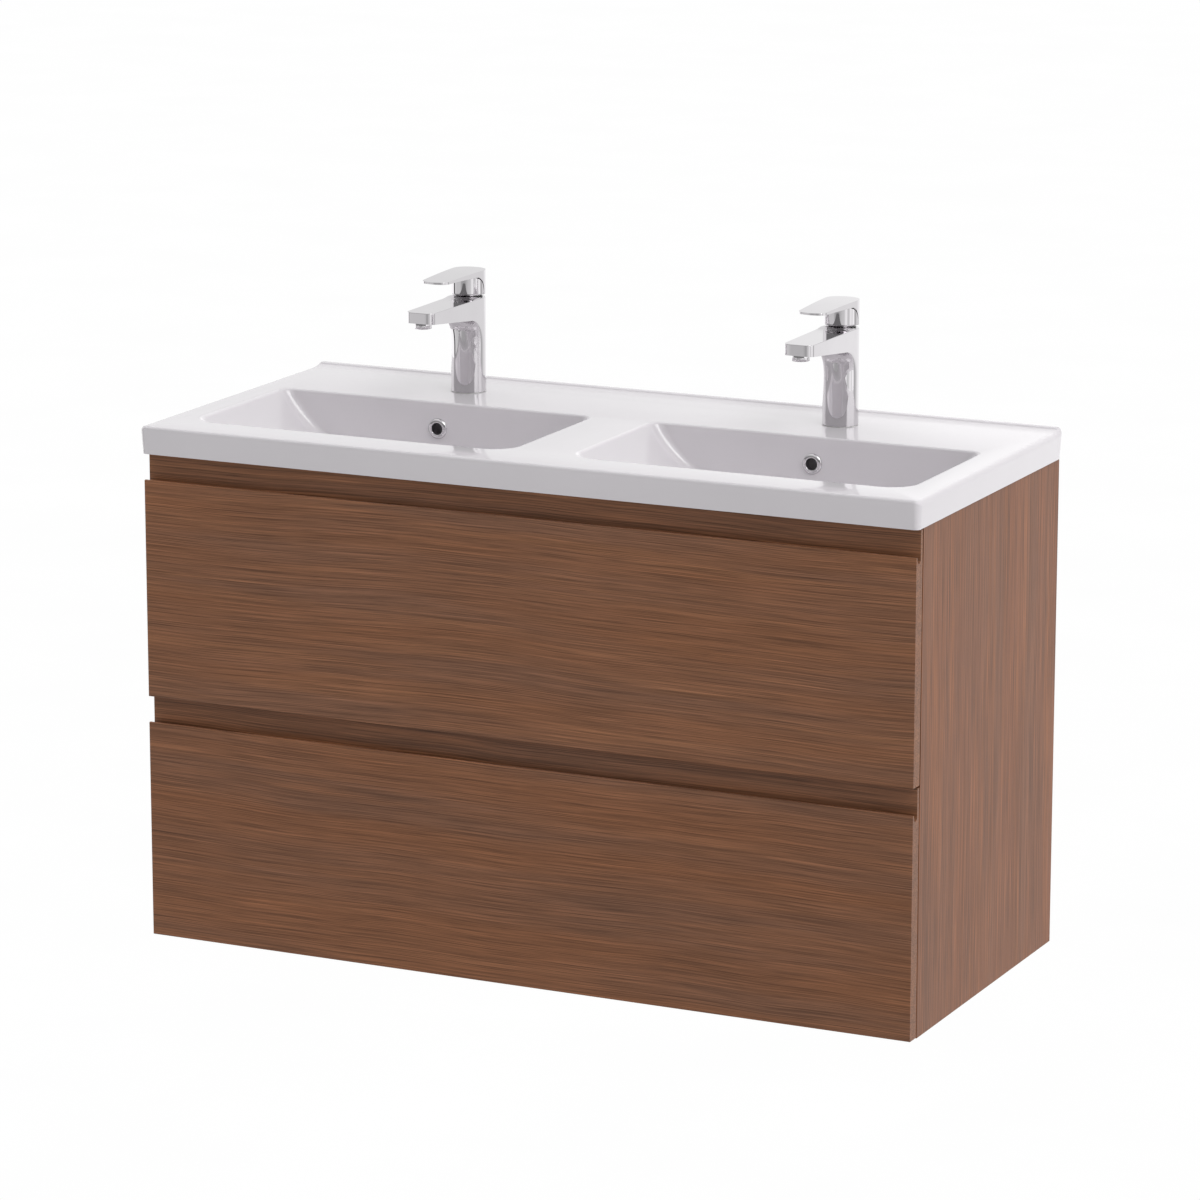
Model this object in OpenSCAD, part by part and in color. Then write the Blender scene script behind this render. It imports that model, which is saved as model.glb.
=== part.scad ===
// Wall-hung bathroom vanity: a two-drawer cabinet with milled grips, a ceramic
// basin with two bowls, and two single-lever taps.
//
// X runs across the cabinet, Y runs back to the wall, Z runs up. The origin is
// on the wall, midway between the wall screws. Inside the modules, heights are
// counted from the underside of the cabinet; hung() moves them to the origin.

/* [Cabinet] */
// Width of the cabinet
cabinet_w = 1000; // [960:10:1200]
// Depth from the wall to the faces of the drawer fronts
cabinet_d = 450; // [445:5:500]
// Height of the cabinet below the basin
cabinet_h = 602; // [590:1:650]
// Thickness of the side, bottom and rail boards
board_t = 16; // [15:1:18]
// Height of the wall screws above the underside of the cabinet
fixing_z = 545; // [540:1:550]

/* [Drawer fronts] */
// Thickness of a drawer front
front_t = 18; // [17:0.5:20]
// Height of a front from its lower edge to the lip of its grip
lip_h = 268; // [255:1:272]
// Thickness of the lip that the fingers pull on
lip_t = 3.2; // [3:0.1:5]
// Width of the groove behind the lip
groove_w = 9.3; // [8:0.1:10]
// Depth of the groove below the top of the lip
groove_h = 8; // [6:0.5:12]
// Gap above each front
front_gap = 2.5; // [2:0.5:4]
// Height of the cabinet's underside below the lower front
front_reveal = 1.5; // [1:0.5:3]
// Gap between the fronts and the cabinet, kept by the bumpers
bumper_gap = 2.5; // [2:0.1:4]

/* [Drawers] */
// Length of the drawer boxes and their runners
drawer_l = 344; // [300:1:350]
// Thickness of the drawer sides and backs
drawer_t = 12; // [10:1:14]
// Height of the lower drawer's sides
lower_side_h = 180; // [120:1:200]
// Height of the upper drawer's sides
upper_side_h = 104; // [80:1:110]
// Height of a runner
runner_h = 45; // [40:1:46]
// Width of a runner between cabinet and drawer side
runner_w = 13; // [12.5:0.1:14]

/* [Basin] */
// How far the basin reaches past the cabinet at each side
basin_side = 5; // [3:0.5:8]
// How far the basin reaches past the drawer fronts
basin_front = 4; // [3:0.5:8]
// Height of the rim above the cabinet
rim_h = 34; // [30:1:45]
// How far the rim leans outwards from bottom to top
rim_lean = 2.3; // [1:0.1:3]
// Height of the coved lip along the wall
cove_h = 4; // [3:0.5:10]
// Depth of the cove in front of the wall
cove_d = 30; // [20:1:40]
// Thickness of the ceramic
wall_t = 10; // [9:0.5:12]
// Width of each bowl at the rim
bowl_w = 425; // [400:5:430]
// Distance from the middle of the basin to the middle of each bowl
bowl_x = 252.5; // [245:0.5:260]
// Depth of each bowl below the rim
bowl_h = 85; // [75:1:95]
// Distance from the drawer fronts to the front edge of each bowl
bowl_front = 54; // [50:1:60]
// Distance from the drawer fronts to the back edge of each bowl
bowl_back = 286; // [275:1:290]

/* [Drains] */
// Distance from the wall to the middle of each waste
waste_y = 250; // [230:5:270]
// Outer radius of the drain pipes
pipe_r = 16; // [16:0.5:20]
// Distance from the wall to the middle of each bottle trap
trap_y = 57; // [55:1:58]

/* [Taps] */
// Distance from the middle of the basin to each tap
tap_x = 250; // [240:1:260]
// Distance from the wall to the middle of each tap
tap_y = 82; // [75:1:90]
// Width of a tap's column
tap_w = 43; // [40:1:46]
// Height of the top of the spout above the basin
spout_h = 118.5; // [105:0.5:130]
// Reach of the spout from the middle of the column to its tip
spout_l = 132.5; // [120:0.5:140]
// Width of the tip of the spout
spout_tip_w = 37; // [30:1:40]
// Height of the top of the lever above the basin
lever_h = 152.5; // [150:0.5:158]
// Reach of the lever from the middle of the column to its tip
lever_l = 96; // [85:1:110]

/* [Hidden] */

walnut_front = [0.43, 0.31, 0.24];
walnut_side = [0.54, 0.42, 0.35];
ceramic_white = [0.93, 0.93, 0.94];
steel_grey = [0.72, 0.73, 0.75];
drawer_grey = [0.80, 0.80, 0.79];
chrome = [0.86, 0.87, 0.89];
pipe_white = [0.90, 0.90, 0.88];
seal_black = [0.10, 0.10, 0.11];
brass_yellow = [0.80, 0.66, 0.36];

left = -1;
right = 1;
tiny = 0.1;                       // overlap between solids that are one piece
air = 0.3;                        // gap between pieces that move past each other

// Cabinet
half_w = cabinet_w / 2;
inner_w = half_w - board_t;       // from the middle to the inside of a side panel
face_y = -cabinet_d;              // faces of the drawer fronts
back_of_front_y = face_y + front_t;
carcass_y = back_of_front_y + bumper_gap;
rail_h = 80;
rail_gap = 18;                    // room for the wall plates behind the rails
rail_y = -rail_gap - board_t;
upper_rail_z = fixing_z - 45;
front_rail_h = 50;

// Fronts
front_pitch = (cabinet_h - front_reveal) / 2;
front_h = front_pitch - front_gap;
web_y = lip_t + groove_w;         // recessed face behind the grip
front_z = [front_reveal, front_reveal + front_pitch];

// Drawers
drawer_z = [front_z[0] + 20.5, front_z[1] + 20.5];
side_h = [lower_side_h, upper_side_h];
drawer_x = inner_w - runner_w;    // outside of a drawer side
bottom_t = 8;
bottom_rise = 10;                 // height of the drawer bottom above the sides' lower edges
bottom_grip = 6;                  // depth of the grooves that hold the drawer bottom
runner_rise = [48, 38];           // middle of a runner above the drawer side's lower edge
steel_t = 1.2;
drawer_back_y = back_of_front_y + drawer_l;

// Basin
rim_z = cabinet_h + rim_h;
basin_w = half_w + basin_side;
basin_y = face_y - basin_front;
floor_z = rim_z - bowl_h;
bowl_r = 2 * bowl_h;              // side walls: arcs that end at 60 degrees on the rim
bowl_flat = bowl_w / 2 - bowl_r * sin(60);
bowl_front_y = face_y + bowl_front;
bowl_back_y = face_y + bowl_back;
back_draft = 3;                   // lean of the bowl's back wall, in degrees
front_draft = 12;
foot_r_front = 45;                // rounds between the end walls and the floor
foot_r_back = 26;
overflow_z = rim_z - 33;
overflow_r = 11;
waste_hole_r = 22.5;
tap_hole_r = 17.5;
duct_w = 44;
duct_d = 14;
boss_h = 20;                      // of the ceramic round the waste, below the floor
skirt_t = wall_t + 2;             // thickness of the rim behind its faces

// Drains
waste_r = 20.7;                   // outside of the waste's thread
waste_end_z = floor_z - boss_h - 42;
elbow_r = 24;
elbow_z = waste_end_z - 3;
inlet_z = elbow_z - elbow_r;
bottle_r = 21;
bottle_z = 372;
cup_h = 48;
outlet_z = 444;
outlet_nut_y = -trap_y + bottle_r + 1;
outlet_l = 26;                    // length of outlet pipe that stands free at the wall
spigot_r = pipe_r - 0.8;

// Taps, in heights above the basin
gasket_t = 1;
foot_h = 5;                       // depth of the hollow in the tap's foot
foot_r = 16;
inlet_x = [-8, 8];
inlet_y = -5;
stud_y = 9;
stud_r = 3;
column_front = 20;                // depth of the half ellipse at the front of the column
column_back = 18;                 // and of the one at its back
column_y = -1;                    // front end of the flat sides
column_flat = 3.5;                // depth of the flat sides
cartridge_r = 17;
hub_z = spout_h + 3.5;
skirt_z = hub_z + 0.4;            // lower edge of the lever's skirt
skirt_y = 1.5;                    // front edge of the skirt
lever_t = 7;                      // thickness of the lever where it meets the skirt
lever_tip_t = 3.6;
lever_r = 17;                     // round of the lever into its skirt
pivot_y = 8;                      // the lever rocks on pegs here
pivot_z = skirt_z + 6;
peg_r = 2;
aerator_y = -spout_l + 11.5;
aerator_r = 10.6;
spout_tip_h = 13.5;

// ---------------------------------------------------------------- helpers

// Heights counted from the underside of the cabinet, moved to the wall screws
module hung() translate([0, 0, -fixing_z]) children();

// A box from its corner of least x, y and z to the opposite one
module block(a, b) translate(a) cube(b - a);

// A profile drawn as (y, z), drawn out along X about the middle
module along_x(w) rotate([90, 0, 90]) linear_extrude(w, center = true) children();

// A profile drawn as (x, z), drawn out along Y from y0 to y1
module along_y(y0, y1) translate([0, y1, 0]) rotate([90, 0, 0]) linear_extrude(y1 - y0) children();

module tube(r_out, r_in, h) difference() {
    cylinder(r = r_out, h = h, $fn = 64);
    translate([0, 0, -tiny]) cylinder(r = r_in, h = h + 2 * tiny, $fn = 64);
}

module both_sides() {
    children();
    mirror([1, 0, 0]) children();
}

function arc(c, r, a0, a1, n = 8) =
    [for (i = [0 : n]) let (a = a0 + (a1 - a0) * i / n) c + r * [cos(a), sin(a)]];

function ellipse_arc(c, rx, ry, a0, a1, n = 16) =
    [for (i = [0 : n]) let (a = a0 + (a1 - a0) * i / n) c + [rx * cos(a), ry * sin(a)]];

// ---------------------------------------------------------------- carcass

// Cam housings that pull the boards together, as [position, turn]
cam_r = 7.5;
cam_h = 12;
cam_inset = 34;
cams = concat(
    [for (s = [left, right]) [[s * (inner_w - cam_inset), carcass_y + board_t, cabinet_h - 20], [90, 0, 0]]],
    [for (s = [left, right]) [[s * (inner_w - cam_inset), rail_y, upper_rail_z + 20], [-90, 0, 0]]],
    [for (s = [left, right]) [[s * (inner_w - cam_inset), rail_y, board_t + 40], [-90, 0, 0]]],
    [for (s = [left, right], y = [-370, -90]) [[s * (inner_w - cam_inset), y, 0], [0, 0, 0]]]
);

module cam_bores() for (c = cams) translate(c[0]) rotate(c[1])
    translate([0, 0, -tiny]) cylinder(r = cam_r, h = cam_h + tiny, $fn = 48);

module cam_fasteners() color(steel_grey) hung() for (c = cams) translate(c[0]) rotate(c[1]) difference() {
    translate([0, 0, 0.5]) cylinder(r = cam_r, h = cam_h - 0.5, $fn = 48);
    // cross slot for the screwdriver
    for (turn = [0, 90]) rotate(turn) block([-5, -0.8, -tiny], [5, 0.8, 3]);
}

module side_panel(s) color(walnut_side) hung()
    block([s * (half_w - board_t / 2) - board_t / 2, carcass_y, 0],
          [s * (half_w - board_t / 2) + board_t / 2, 0, cabinet_h]);

module bottom_panel() color(walnut_side) hung() difference() {
    block([-inner_w, carcass_y, 0], [inner_w, 0, board_t]);
    cam_bores();
}

module front_rail() color(walnut_side) hung() difference() {
    block([-inner_w, carcass_y, cabinet_h - front_rail_h], [inner_w, carcass_y + board_t, cabinet_h]);
    cam_bores();
}

module back_rail(z) color(walnut_side) hung() difference() {
    block([-inner_w, rail_y, z], [inner_w, rail_y + board_t, z + rail_h]);
    cam_bores();
}

module back_rail_upper() back_rail(upper_rail_z);
module back_rail_lower() back_rail(board_t);

// ---------------------------------------------------------------- hanging

plate_w = 50;
plate_t = 2;
plate_h = 56;
plate_x = inner_w - plate_w / 2 - 4;
screw_r = 3.25;
screw_pitch = 32;                 // between the two screws of one plate
lip_top = 40;                     // of a plate's hooked lip above the wall screws

// Plate screwed to the wall, with a lip that the cabinet hooks over
module wall_plate(s) color(steel_grey) hung() translate([s * plate_x, 0, fixing_z]) difference() {
    union() {
        block([-plate_w / 2, -plate_t, -plate_h / 2], [plate_w / 2, 0, plate_h / 2]);
        block([-plate_w / 2, -9, plate_h / 2 - plate_t], [plate_w / 2, 0, plate_h / 2]);
        block([-plate_w / 2, -9, plate_h / 2 - plate_t], [plate_w / 2, -9 + plate_t, lip_top]);
    }
    for (z = [-1, 1] * screw_pitch / 2) translate([0, tiny, z]) rotate([90, 0, 0])
        cylinder(r = screw_r, h = plate_t + 2 * tiny, $fn = 48);
}

// Box on the side panel with an adjusting screw and a hook over the wall plate
bracket_w = 18;
module hanging_bracket(s) color(steel_grey) hung() {
    x = s * (inner_w - bracket_w / 2);
    hook_z = fixing_z + lip_top;
    difference() {
        block([x - bracket_w / 2, -80, fixing_z - 25], [x + bracket_w / 2, rail_y - 2, fixing_z + 50]);
        block([x - bracket_w / 2 + 3, -80 - tiny, fixing_z - 20], [x + bracket_w / 2 - 3, -77, fixing_z + 30]);
        for (z = [-10, 20]) translate([x, -77 - tiny, fixing_z + z]) rotate([-90, 0, 0])
            cylinder(r = 3.5, h = 12, $fn = 40);
    }
    // hook, with its nose turned down behind the lip
    block([x - bracket_w / 2, rail_y - 4, hook_z + 0.5], [x + bracket_w / 2, -3, hook_z + 3.5]);
    block([x - bracket_w / 2, -5.5, hook_z - 9], [x + bracket_w / 2, -3, hook_z + 1]);
}

// ---------------------------------------------------------------- runners

// Each runner is three nested steel profiles, drawn as (distance from the panel, z)
runner_y = back_of_front_y + 4;
runner_l = drawer_l + 2;

module runner_part(i, profile, y0, y1) hung() both_sides()
    translate([inner_w, 0, drawer_z[i] + runner_rise[i]]) mirror([1, 0, 0])
        along_y(y0, y1) polygon(profile);

// A channel with its web at u0 and its flanges running to u1
function channel(u0, u1, h) = let (w = u0 + sign(u1 - u0) * steel_t, e = h / 2 - steel_t) [
    [u0, -h / 2], [u1, -h / 2], [u1, -e], [w, -e], [w, e], [u1, e], [u1, h / 2], [u0, h / 2]
];

module runner_channels(i) color(steel_grey)
    runner_part(i, channel(0, runner_w - 3.5, runner_h), runner_y, runner_y + runner_l);

module runner_middles(i) color(steel_grey)
    runner_part(i, channel(2.4, runner_w - 2.3, runner_h - 4), runner_y + 1, runner_y + runner_l - 4);

module runner_slides(i) color(steel_grey)
    runner_part(i, channel(runner_w, 5, runner_h - 10), runner_y, drawer_back_y);

// ---------------------------------------------------------------- drawers

// Section of a front, drawn as (distance behind the face, height): a lip, a round
// groove behind it, and a thin web that carries on up to the next front
function front_section() = let (r = groove_w / 2, ease = 0.8) concat(
    arc([ease, ease], ease, 270, 180, 3),
    arc([ease, lip_h - ease], ease, 180, 90, 3),
    [[lip_t, lip_h]],
    arc([lip_t + r, lip_h - groove_h + r], r, 180, 360, 10),
    [[web_y, front_h], [front_t, front_h], [front_t, 0]]
);

module drawer_front(i) color(walnut_front) hung() translate([0, face_y, front_z[i]])
    along_x(cabinet_w) polygon(front_section());

module drawer_side(i, s) color(drawer_grey) hung() difference() {
    block([s * (drawer_x - drawer_t / 2) - drawer_t / 2, back_of_front_y, drawer_z[i]],
          [s * (drawer_x - drawer_t / 2) + drawer_t / 2, drawer_back_y, drawer_z[i] + side_h[i]]);
    bottom_space(i);
}

// The space that the drawer bottom fills, with its edges in the sides' grooves
module bottom_space(i) {
    x = drawer_x - drawer_t + bottom_grip;
    z = drawer_z[i] + bottom_rise;
    block([-x, back_of_front_y, z], [x, drawer_back_y, z + bottom_t]);
}

module drawer_bottom(i) color(drawer_grey) hung() bottom_space(i);

module drawer_back(i) color(drawer_grey) hung() {
    x = drawer_x - drawer_t;
    block([-x, drawer_back_y - drawer_t, drawer_z[i] + bottom_rise + bottom_t],
          [x, drawer_back_y, drawer_z[i] + side_h[i] - 4]);
}

// Steel angles that hold the front to the drawer sides, with their screw heads
module drawer_brackets(i) color(steel_grey) hung() both_sides() {
    x = drawer_x - drawer_t;
    z = drawer_z[i] + side_h[i] / 2 + 4;
    h = 50;
    block([x - 2, back_of_front_y, z - h / 2], [x, back_of_front_y + 40, z + h / 2]);
    block([x - 40, back_of_front_y, z - h / 2], [x - 2, back_of_front_y + 2, z + h / 2]);
    for (dz = [-14, 14]) {
        translate([x - 24, back_of_front_y + 2 - tiny, z + dz]) rotate([-90, 0, 0])
            cylinder(r1 = 4, r2 = 2.6, h = 1.8, $fn = 32);
        translate([x - 2 + tiny, back_of_front_y + 24, z + dz]) rotate([0, -90, 0])
            cylinder(r1 = 4, r2 = 2.6, h = 1.8, $fn = 32);
    }
}

// Soft discs that the front closes on
module drawer_bumpers(i) color(pipe_white) hung() both_sides()
    for (z = [30, lip_h - 30]) translate([half_w - board_t / 2, back_of_front_y, front_z[i] + z])
        rotate([-90, 0, 0]) cylinder(r = 4.5, h = bumper_gap - air, $fn = 32);

// ---------------------------------------------------------------- basin

// Section of the rim and deck, drawn as (y, z), from the front edge to the wall
function rim_section() = let (ease = 3.5, cove_r = (cove_d * cove_d + cove_h * cove_h) / (2 * cove_h)) concat(
    [[0, cabinet_h], [basin_y + rim_lean, cabinet_h]],
    arc([basin_y + ease, rim_z - ease], ease, 180, 90, 4),
    arc([-cove_d, rim_z + cove_r], cove_r, 270, 270 + 2 * atan(cove_h / cove_d), 6)
);

module rounded_plan(x, y0, y1, r_front, r_back) polygon(concat(
    arc([-x + r_front, y0 + r_front], r_front, 180, 270, 6),
    arc([x - r_front, y0 + r_front], r_front, 270, 360, 6),
    arc([x - r_back, y1 - r_back], r_back, 0, 90, 6),
    arc([-x + r_back, y1 - r_back], r_back, 90, 180, 6)
));

module basin_slab() intersection() {
    along_x(2 * basin_w) polygon(rim_section());
    along_y(basin_y, 0) polygon([
        [-basin_w + rim_lean, cabinet_h], [-basin_w, rim_z - 3], [-basin_w + 3, rim_z + cove_h],
        [basin_w - 3, rim_z + cove_h], [basin_w, rim_z - 3], [basin_w - rim_lean, cabinet_h]
    ]);
    linear_extrude(rim_z + cove_h) rounded_plan(basin_w, basin_y, 0, 9, 4);
}

// The side walls of a bowl, drawn as (x, z): grown by t, they bound the outside
function bowl_sides(t) = let (c = floor_z + bowl_r, r = bowl_r + t) concat(
    arc([-bowl_flat, c], r, 210, 270, 10),
    arc([bowl_flat, c], r, 270, 330, 10),
    [for (s = [right, left]) [s * (bowl_w / 2 + t), rim_z + cove_h]]
);

// The front and back walls of a bowl, drawn as (y, z)
function bowl_ends(t) = let (
    f = bowl_front_y - t, b = bowl_back_y + t, z = floor_z - t,
    rf = foot_r_front + t, rb = foot_r_back + t
) concat(
    [[f, rim_z + cove_h], [f, rim_z]],
    arc([f + foot_inset(rf, rim_z - z, front_draft), z + rf], rf, 180 + front_draft, 270, 8),
    arc([b - foot_inset(rb, rim_z - z, back_draft), z + rb], rb, 270, 360 - back_draft, 8),
    [[b, rim_z], [b, rim_z + cove_h]]
);

// Distance from the top of a wall of height h that leans by a to the middle of the
// round of radius r at its foot
function foot_inset(r, h, a) = (h - r * (1 - sin(a))) * tan(a) + r * cos(a);

module bowl(t) intersection() {
    along_y(bowl_front_y - t - 1, bowl_back_y + t + 1) polygon(bowl_sides(t));
    along_x(bowl_w + 2 * t + 2) polygon(bowl_ends(t));
    translate([0, 0, floor_z - t - 1]) linear_extrude(bowl_h + t + cove_h + 2)
        rounded_plan(bowl_w / 2 + t, bowl_front_y - t, bowl_back_y + t, 32 + t, 10 + t);
}

// The overflow's duct, down the back of the bowl and under its floor to the waste
module duct(t) along_x(duct_w - 2 * t) {
    y0 = bowl_back_y - 4;
    y1 = bowl_back_y + wall_t + duct_d - t;
    polygon([
        [y0, overflow_z + 20 - t], [y1, overflow_z + 20 - t], [y1, floor_z - boss_h + t],
        [-waste_y, floor_z - boss_h + t], [-waste_y, floor_z - wall_t], [y0, floor_z - wall_t]
    ]);
}

module at_overflow(s) translate([s * tap_x, bowl_back_y - (rim_z - overflow_z) * tan(back_draft), overflow_z])
    rotate([-90 - back_draft, 0, 0]) children();

module basin() color(ceramic_white) hung() difference() {
    union() {
        difference() {
            basin_slab();
            // hollow underside, inside the skirt and below the deck
            translate([0, 0, cabinet_h - 1]) linear_extrude(rim_h - wall_t + 1)
                rounded_plan(basin_w - rim_lean - skirt_t, basin_y + rim_lean + skirt_t, -skirt_t, 6, 4);
        }
        for (s = [left, right]) translate([s * bowl_x, 0, 0]) intersection() {
            union() {
                bowl(wall_t);
                translate([s * (tap_x - bowl_x), 0, 0]) duct(0);
                // boss round the waste
                translate([0, -waste_y, floor_z - boss_h]) cylinder(r = 34, h = boss_h - 2, $fn = 64);
            }
            block([-bowl_w, basin_y, 0], [bowl_w, 0, rim_z - 1]);
        }
    }
    for (s = [left, right]) {
        translate([s * bowl_x, 0, 0]) bowl(0);
        translate([s * bowl_x, -waste_y, floor_z - boss_h - 1]) cylinder(r = waste_hole_r, h = 40, $fn = 64);
        translate([s * bowl_x, -waste_y, floor_z - 2.5]) cylinder(r = 32.5, h = 10, $fn = 64);
        at_overflow(s) translate([0, 0, -5]) cylinder(r = overflow_r, h = wall_t + 8, $fn = 48);
        translate([s * tap_x, 0, 0]) difference() {
            duct(4);
            // the bowl's own back wall and floor stay whole behind the duct
            translate([s * (bowl_x - tap_x), 0, 0]) bowl(wall_t - 4);
        }
        translate([s * tap_x, -tap_y, rim_z - 30]) cylinder(r = tap_hole_r, h = 40, $fn = 64);
    }
}

// Chrome ring that lines the overflow hole
module overflow_ring(s) color(chrome) hung() at_overflow(s) difference() {
    union() {
        translate([0, 0, -2.2]) cylinder(r1 = 11.8, r2 = 13.3, h = 2.2, $fn = 64);
        cylinder(r = overflow_r, h = 7, $fn = 48);
    }
    translate([0, 0, -3]) cylinder(r = 8.6, h = 11, $fn = 64);
}

// ---------------------------------------------------------------- drains

module at_waste(s, z) hung() translate([s * bowl_x, -waste_y, z]) children();

// Chrome waste: a dished flange in the floor of the bowl and a threaded body below
module waste(s) color(chrome) at_waste(s, floor_z - 2.5) difference() {
    union() {
        cylinder(r1 = 32.5, r2 = 31, h = 2.5, $fn = 64);
        translate([0, 0, waste_end_z - floor_z + 2.5])
            cylinder(r = waste_r, h = floor_z - waste_end_z - 2, $fn = 64);
    }
    translate([0, 0, waste_end_z - floor_z]) cylinder(r = 17.5, h = 80, $fn = 64);
    translate([0, 0, 1]) cylinder(r1 = 20, r2 = 27, h = 2, $fn = 64);
    // slots that let the overflow's water in
    for (turn = [0, 90]) rotate(turn) block([-25, -6, 2.5 - boss_h + 4], [25, 6, 2.5 - wall_t]);
}

// Dome on a stem that is pushed down to close the waste
module waste_plug(s) color(chrome) at_waste(s, floor_z) {
    translate([0, 0, air]) cylinder(r = 29, h = 2.5, $fn = 64);
    translate([0, 0, air + 2.5 - tiny]) cylinder(r1 = 29, r2 = 24, h = 2.5, $fn = 64);
    translate([0, 0, -30]) cylinder(r = 4, h = 30 + air + tiny, $fn = 32);
    translate([0, 0, -30]) cylinder(r = 14, h = 3, $fn = 48);
}

module waste_seals() color(seal_black) for (s = [left, right])
    at_waste(s, floor_z - boss_h - 6) tube(31, waste_r, 6);

module waste_nuts() color(pipe_white) for (s = [left, right]) at_waste(s, floor_z - boss_h - 15) difference() {
    union() {
        cylinder(r = 31, h = 9, $fn = 64);
        for (turn = [0 : 45 : 315]) rotate(turn) block([29, -3, 0], [33.5, 3, 9]);
    }
    translate([0, 0, -tiny]) cylinder(r = waste_r, h = 10, $fn = 64);
}

// Elbow under the waste and pipe back to the bottle
module trap_inlet(s) color(pipe_white) at_waste(s, 0) {
    translate([0, 0, elbow_z]) tube(pipe_r, pipe_r - 2, 3);
    translate([0, elbow_r, elbow_z]) rotate([-90, 0, -90]) rotate_extrude(angle = 90, $fn = 64)
        translate([elbow_r, 0]) difference() {
            circle(r = pipe_r, $fn = 48);
            circle(r = pipe_r - 2, $fn = 48);
        }
    translate([0, elbow_r, inlet_z]) rotate([-90, 0, 0])
        tube(pipe_r, pipe_r - 2, waste_y - trap_y - elbow_r - bottle_r + 3);
}

module trap_bottle(s) color(pipe_white) hung() translate([s * bowl_x, -trap_y, 0]) difference() {
    union() {
        translate([0, 0, bottle_z + cup_h])
            cylinder(r = bottle_r, h = inlet_z + 24 - bottle_z - cup_h, $fn = 64);
        // sockets of the inlet and the outlet
        translate([0, 0, inlet_z]) rotate([90, 0, 0]) cylinder(r = 19, h = bottle_r + 1, $fn = 64);
        translate([0, 0, outlet_z]) rotate([-90, 0, 0]) cylinder(r = 19, h = bottle_r + 1, $fn = 64);
    }
    translate([0, 0, bottle_z + cup_h - tiny])
        cylinder(r = bottle_r - 2.5, h = inlet_z + 20 - bottle_z - cup_h, $fn = 64);
    translate([0, 0, inlet_z]) rotate([90, 0, 0]) cylinder(r = pipe_r, h = 30, $fn = 64);
    translate([0, 0, outlet_z]) rotate([-90, 0, 0]) cylinder(r = spigot_r, h = 30, $fn = 64);
}

// Cups that screw off the bottles for cleaning
module trap_cups() color(pipe_white) for (s = [left, right]) hung() translate([s * bowl_x, -trap_y, bottle_z])
    difference() {
        union() {
            cylinder(r = bottle_r, h = cup_h, $fn = 64);
            for (turn = [0 : 30 : 330]) rotate(turn) block([bottle_r - 1, -1.5, 4], [bottle_r + 1, 1.5, 20]);
        }
        translate([0, 0, 3]) cylinder(r = bottle_r - 2.5, h = cup_h, $fn = 64);
    }

// Pipe from the bottle to the wall, with a slimmer spigot that the nut holds
module trap_outlet(s) color(pipe_white) hung() translate([s * bowl_x, 0, outlet_z]) rotate([-90, 0, 0])
    difference() {
        union() {
            translate([0, 0, outlet_nut_y - 3]) cylinder(r = spigot_r, h = 20, $fn = 64);
            translate([0, 0, -outlet_l]) cylinder(r = pipe_r, h = outlet_l, $fn = 64);
        }
        translate([0, 0, -60]) cylinder(r = pipe_r - 2, h = 61, $fn = 64);
    }

// A ribbed union nut along +Z that closes round a pipe
module union_nut(r_out, r_in, h) difference() {
    union() {
        cylinder(r = r_out, h = h, $fn = 64);
        for (turn = [0 : 30 : 330]) rotate(turn) block([r_out - 1, -1.5, 1], [r_out + 0.8, 1.5, h - 1]);
    }
    translate([0, 0, -tiny]) cylinder(r = r_in, h = h + 2 * tiny, $fn = 64);
}

module trap_nuts() color(pipe_white) for (s = [left, right]) {
    // round the end of the waste, with a floor that holds the elbow's collar
    at_waste(s, waste_end_z) union_nut(25.5, waste_r, 12);
    at_waste(s, waste_end_z - 3) union_nut(25.5, pipe_r, 3);
    hung() translate([s * bowl_x, outlet_nut_y, outlet_z]) rotate([-90, 0, 0]) union_nut(21, spigot_r, 8);
}

// ---------------------------------------------------------------- taps

module at_tap(s) hung() translate([s * tap_x, -tap_y, rim_z]) children();

// Plan of the column: flat sides between a deep front and a shallow back
function column_plan(inset = 0) = let (a = tap_w / 2 - inset) concat(
    ellipse_arc([0, column_y], a, column_front - inset, 180, 360),
    ellipse_arc([0, column_y + column_flat], a, column_back - inset, 0, 180)
);

// Plan of the spout: from the column's flat sides to a round-cornered tip
function spout_plan() = let (r = 8.5, x = spout_tip_w / 2) concat(
    arc([-x + r, -spout_l + r], r, 180, 270, 6),
    arc([x - r, -spout_l + r], r, 270, 360, 6),
    [[tap_w / 2, column_y], [tap_w / 2, column_y + 2], [-tap_w / 2, column_y + 2], [-tap_w / 2, column_y]]
);

// Side of the spout, drawn as (y, z): flat above, rising to the tip below, with a
// round throat where it leaves the column
function spout_side() = let (
    throat = 34, rise = 6, y = column_y - 1.5, z = spout_h - spout_tip_h - (spout_l + y) * tan(rise),
    drop = throat * tan((90 - rise) / 2)
) concat(
    [[column_y + 2, spout_h], [-spout_l, spout_h], [-spout_l, spout_h - spout_tip_h]],
    arc([y - throat, z - drop], throat, 90 - rise, 0, 8),
    [[column_y + 2, z - drop]]
);

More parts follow.
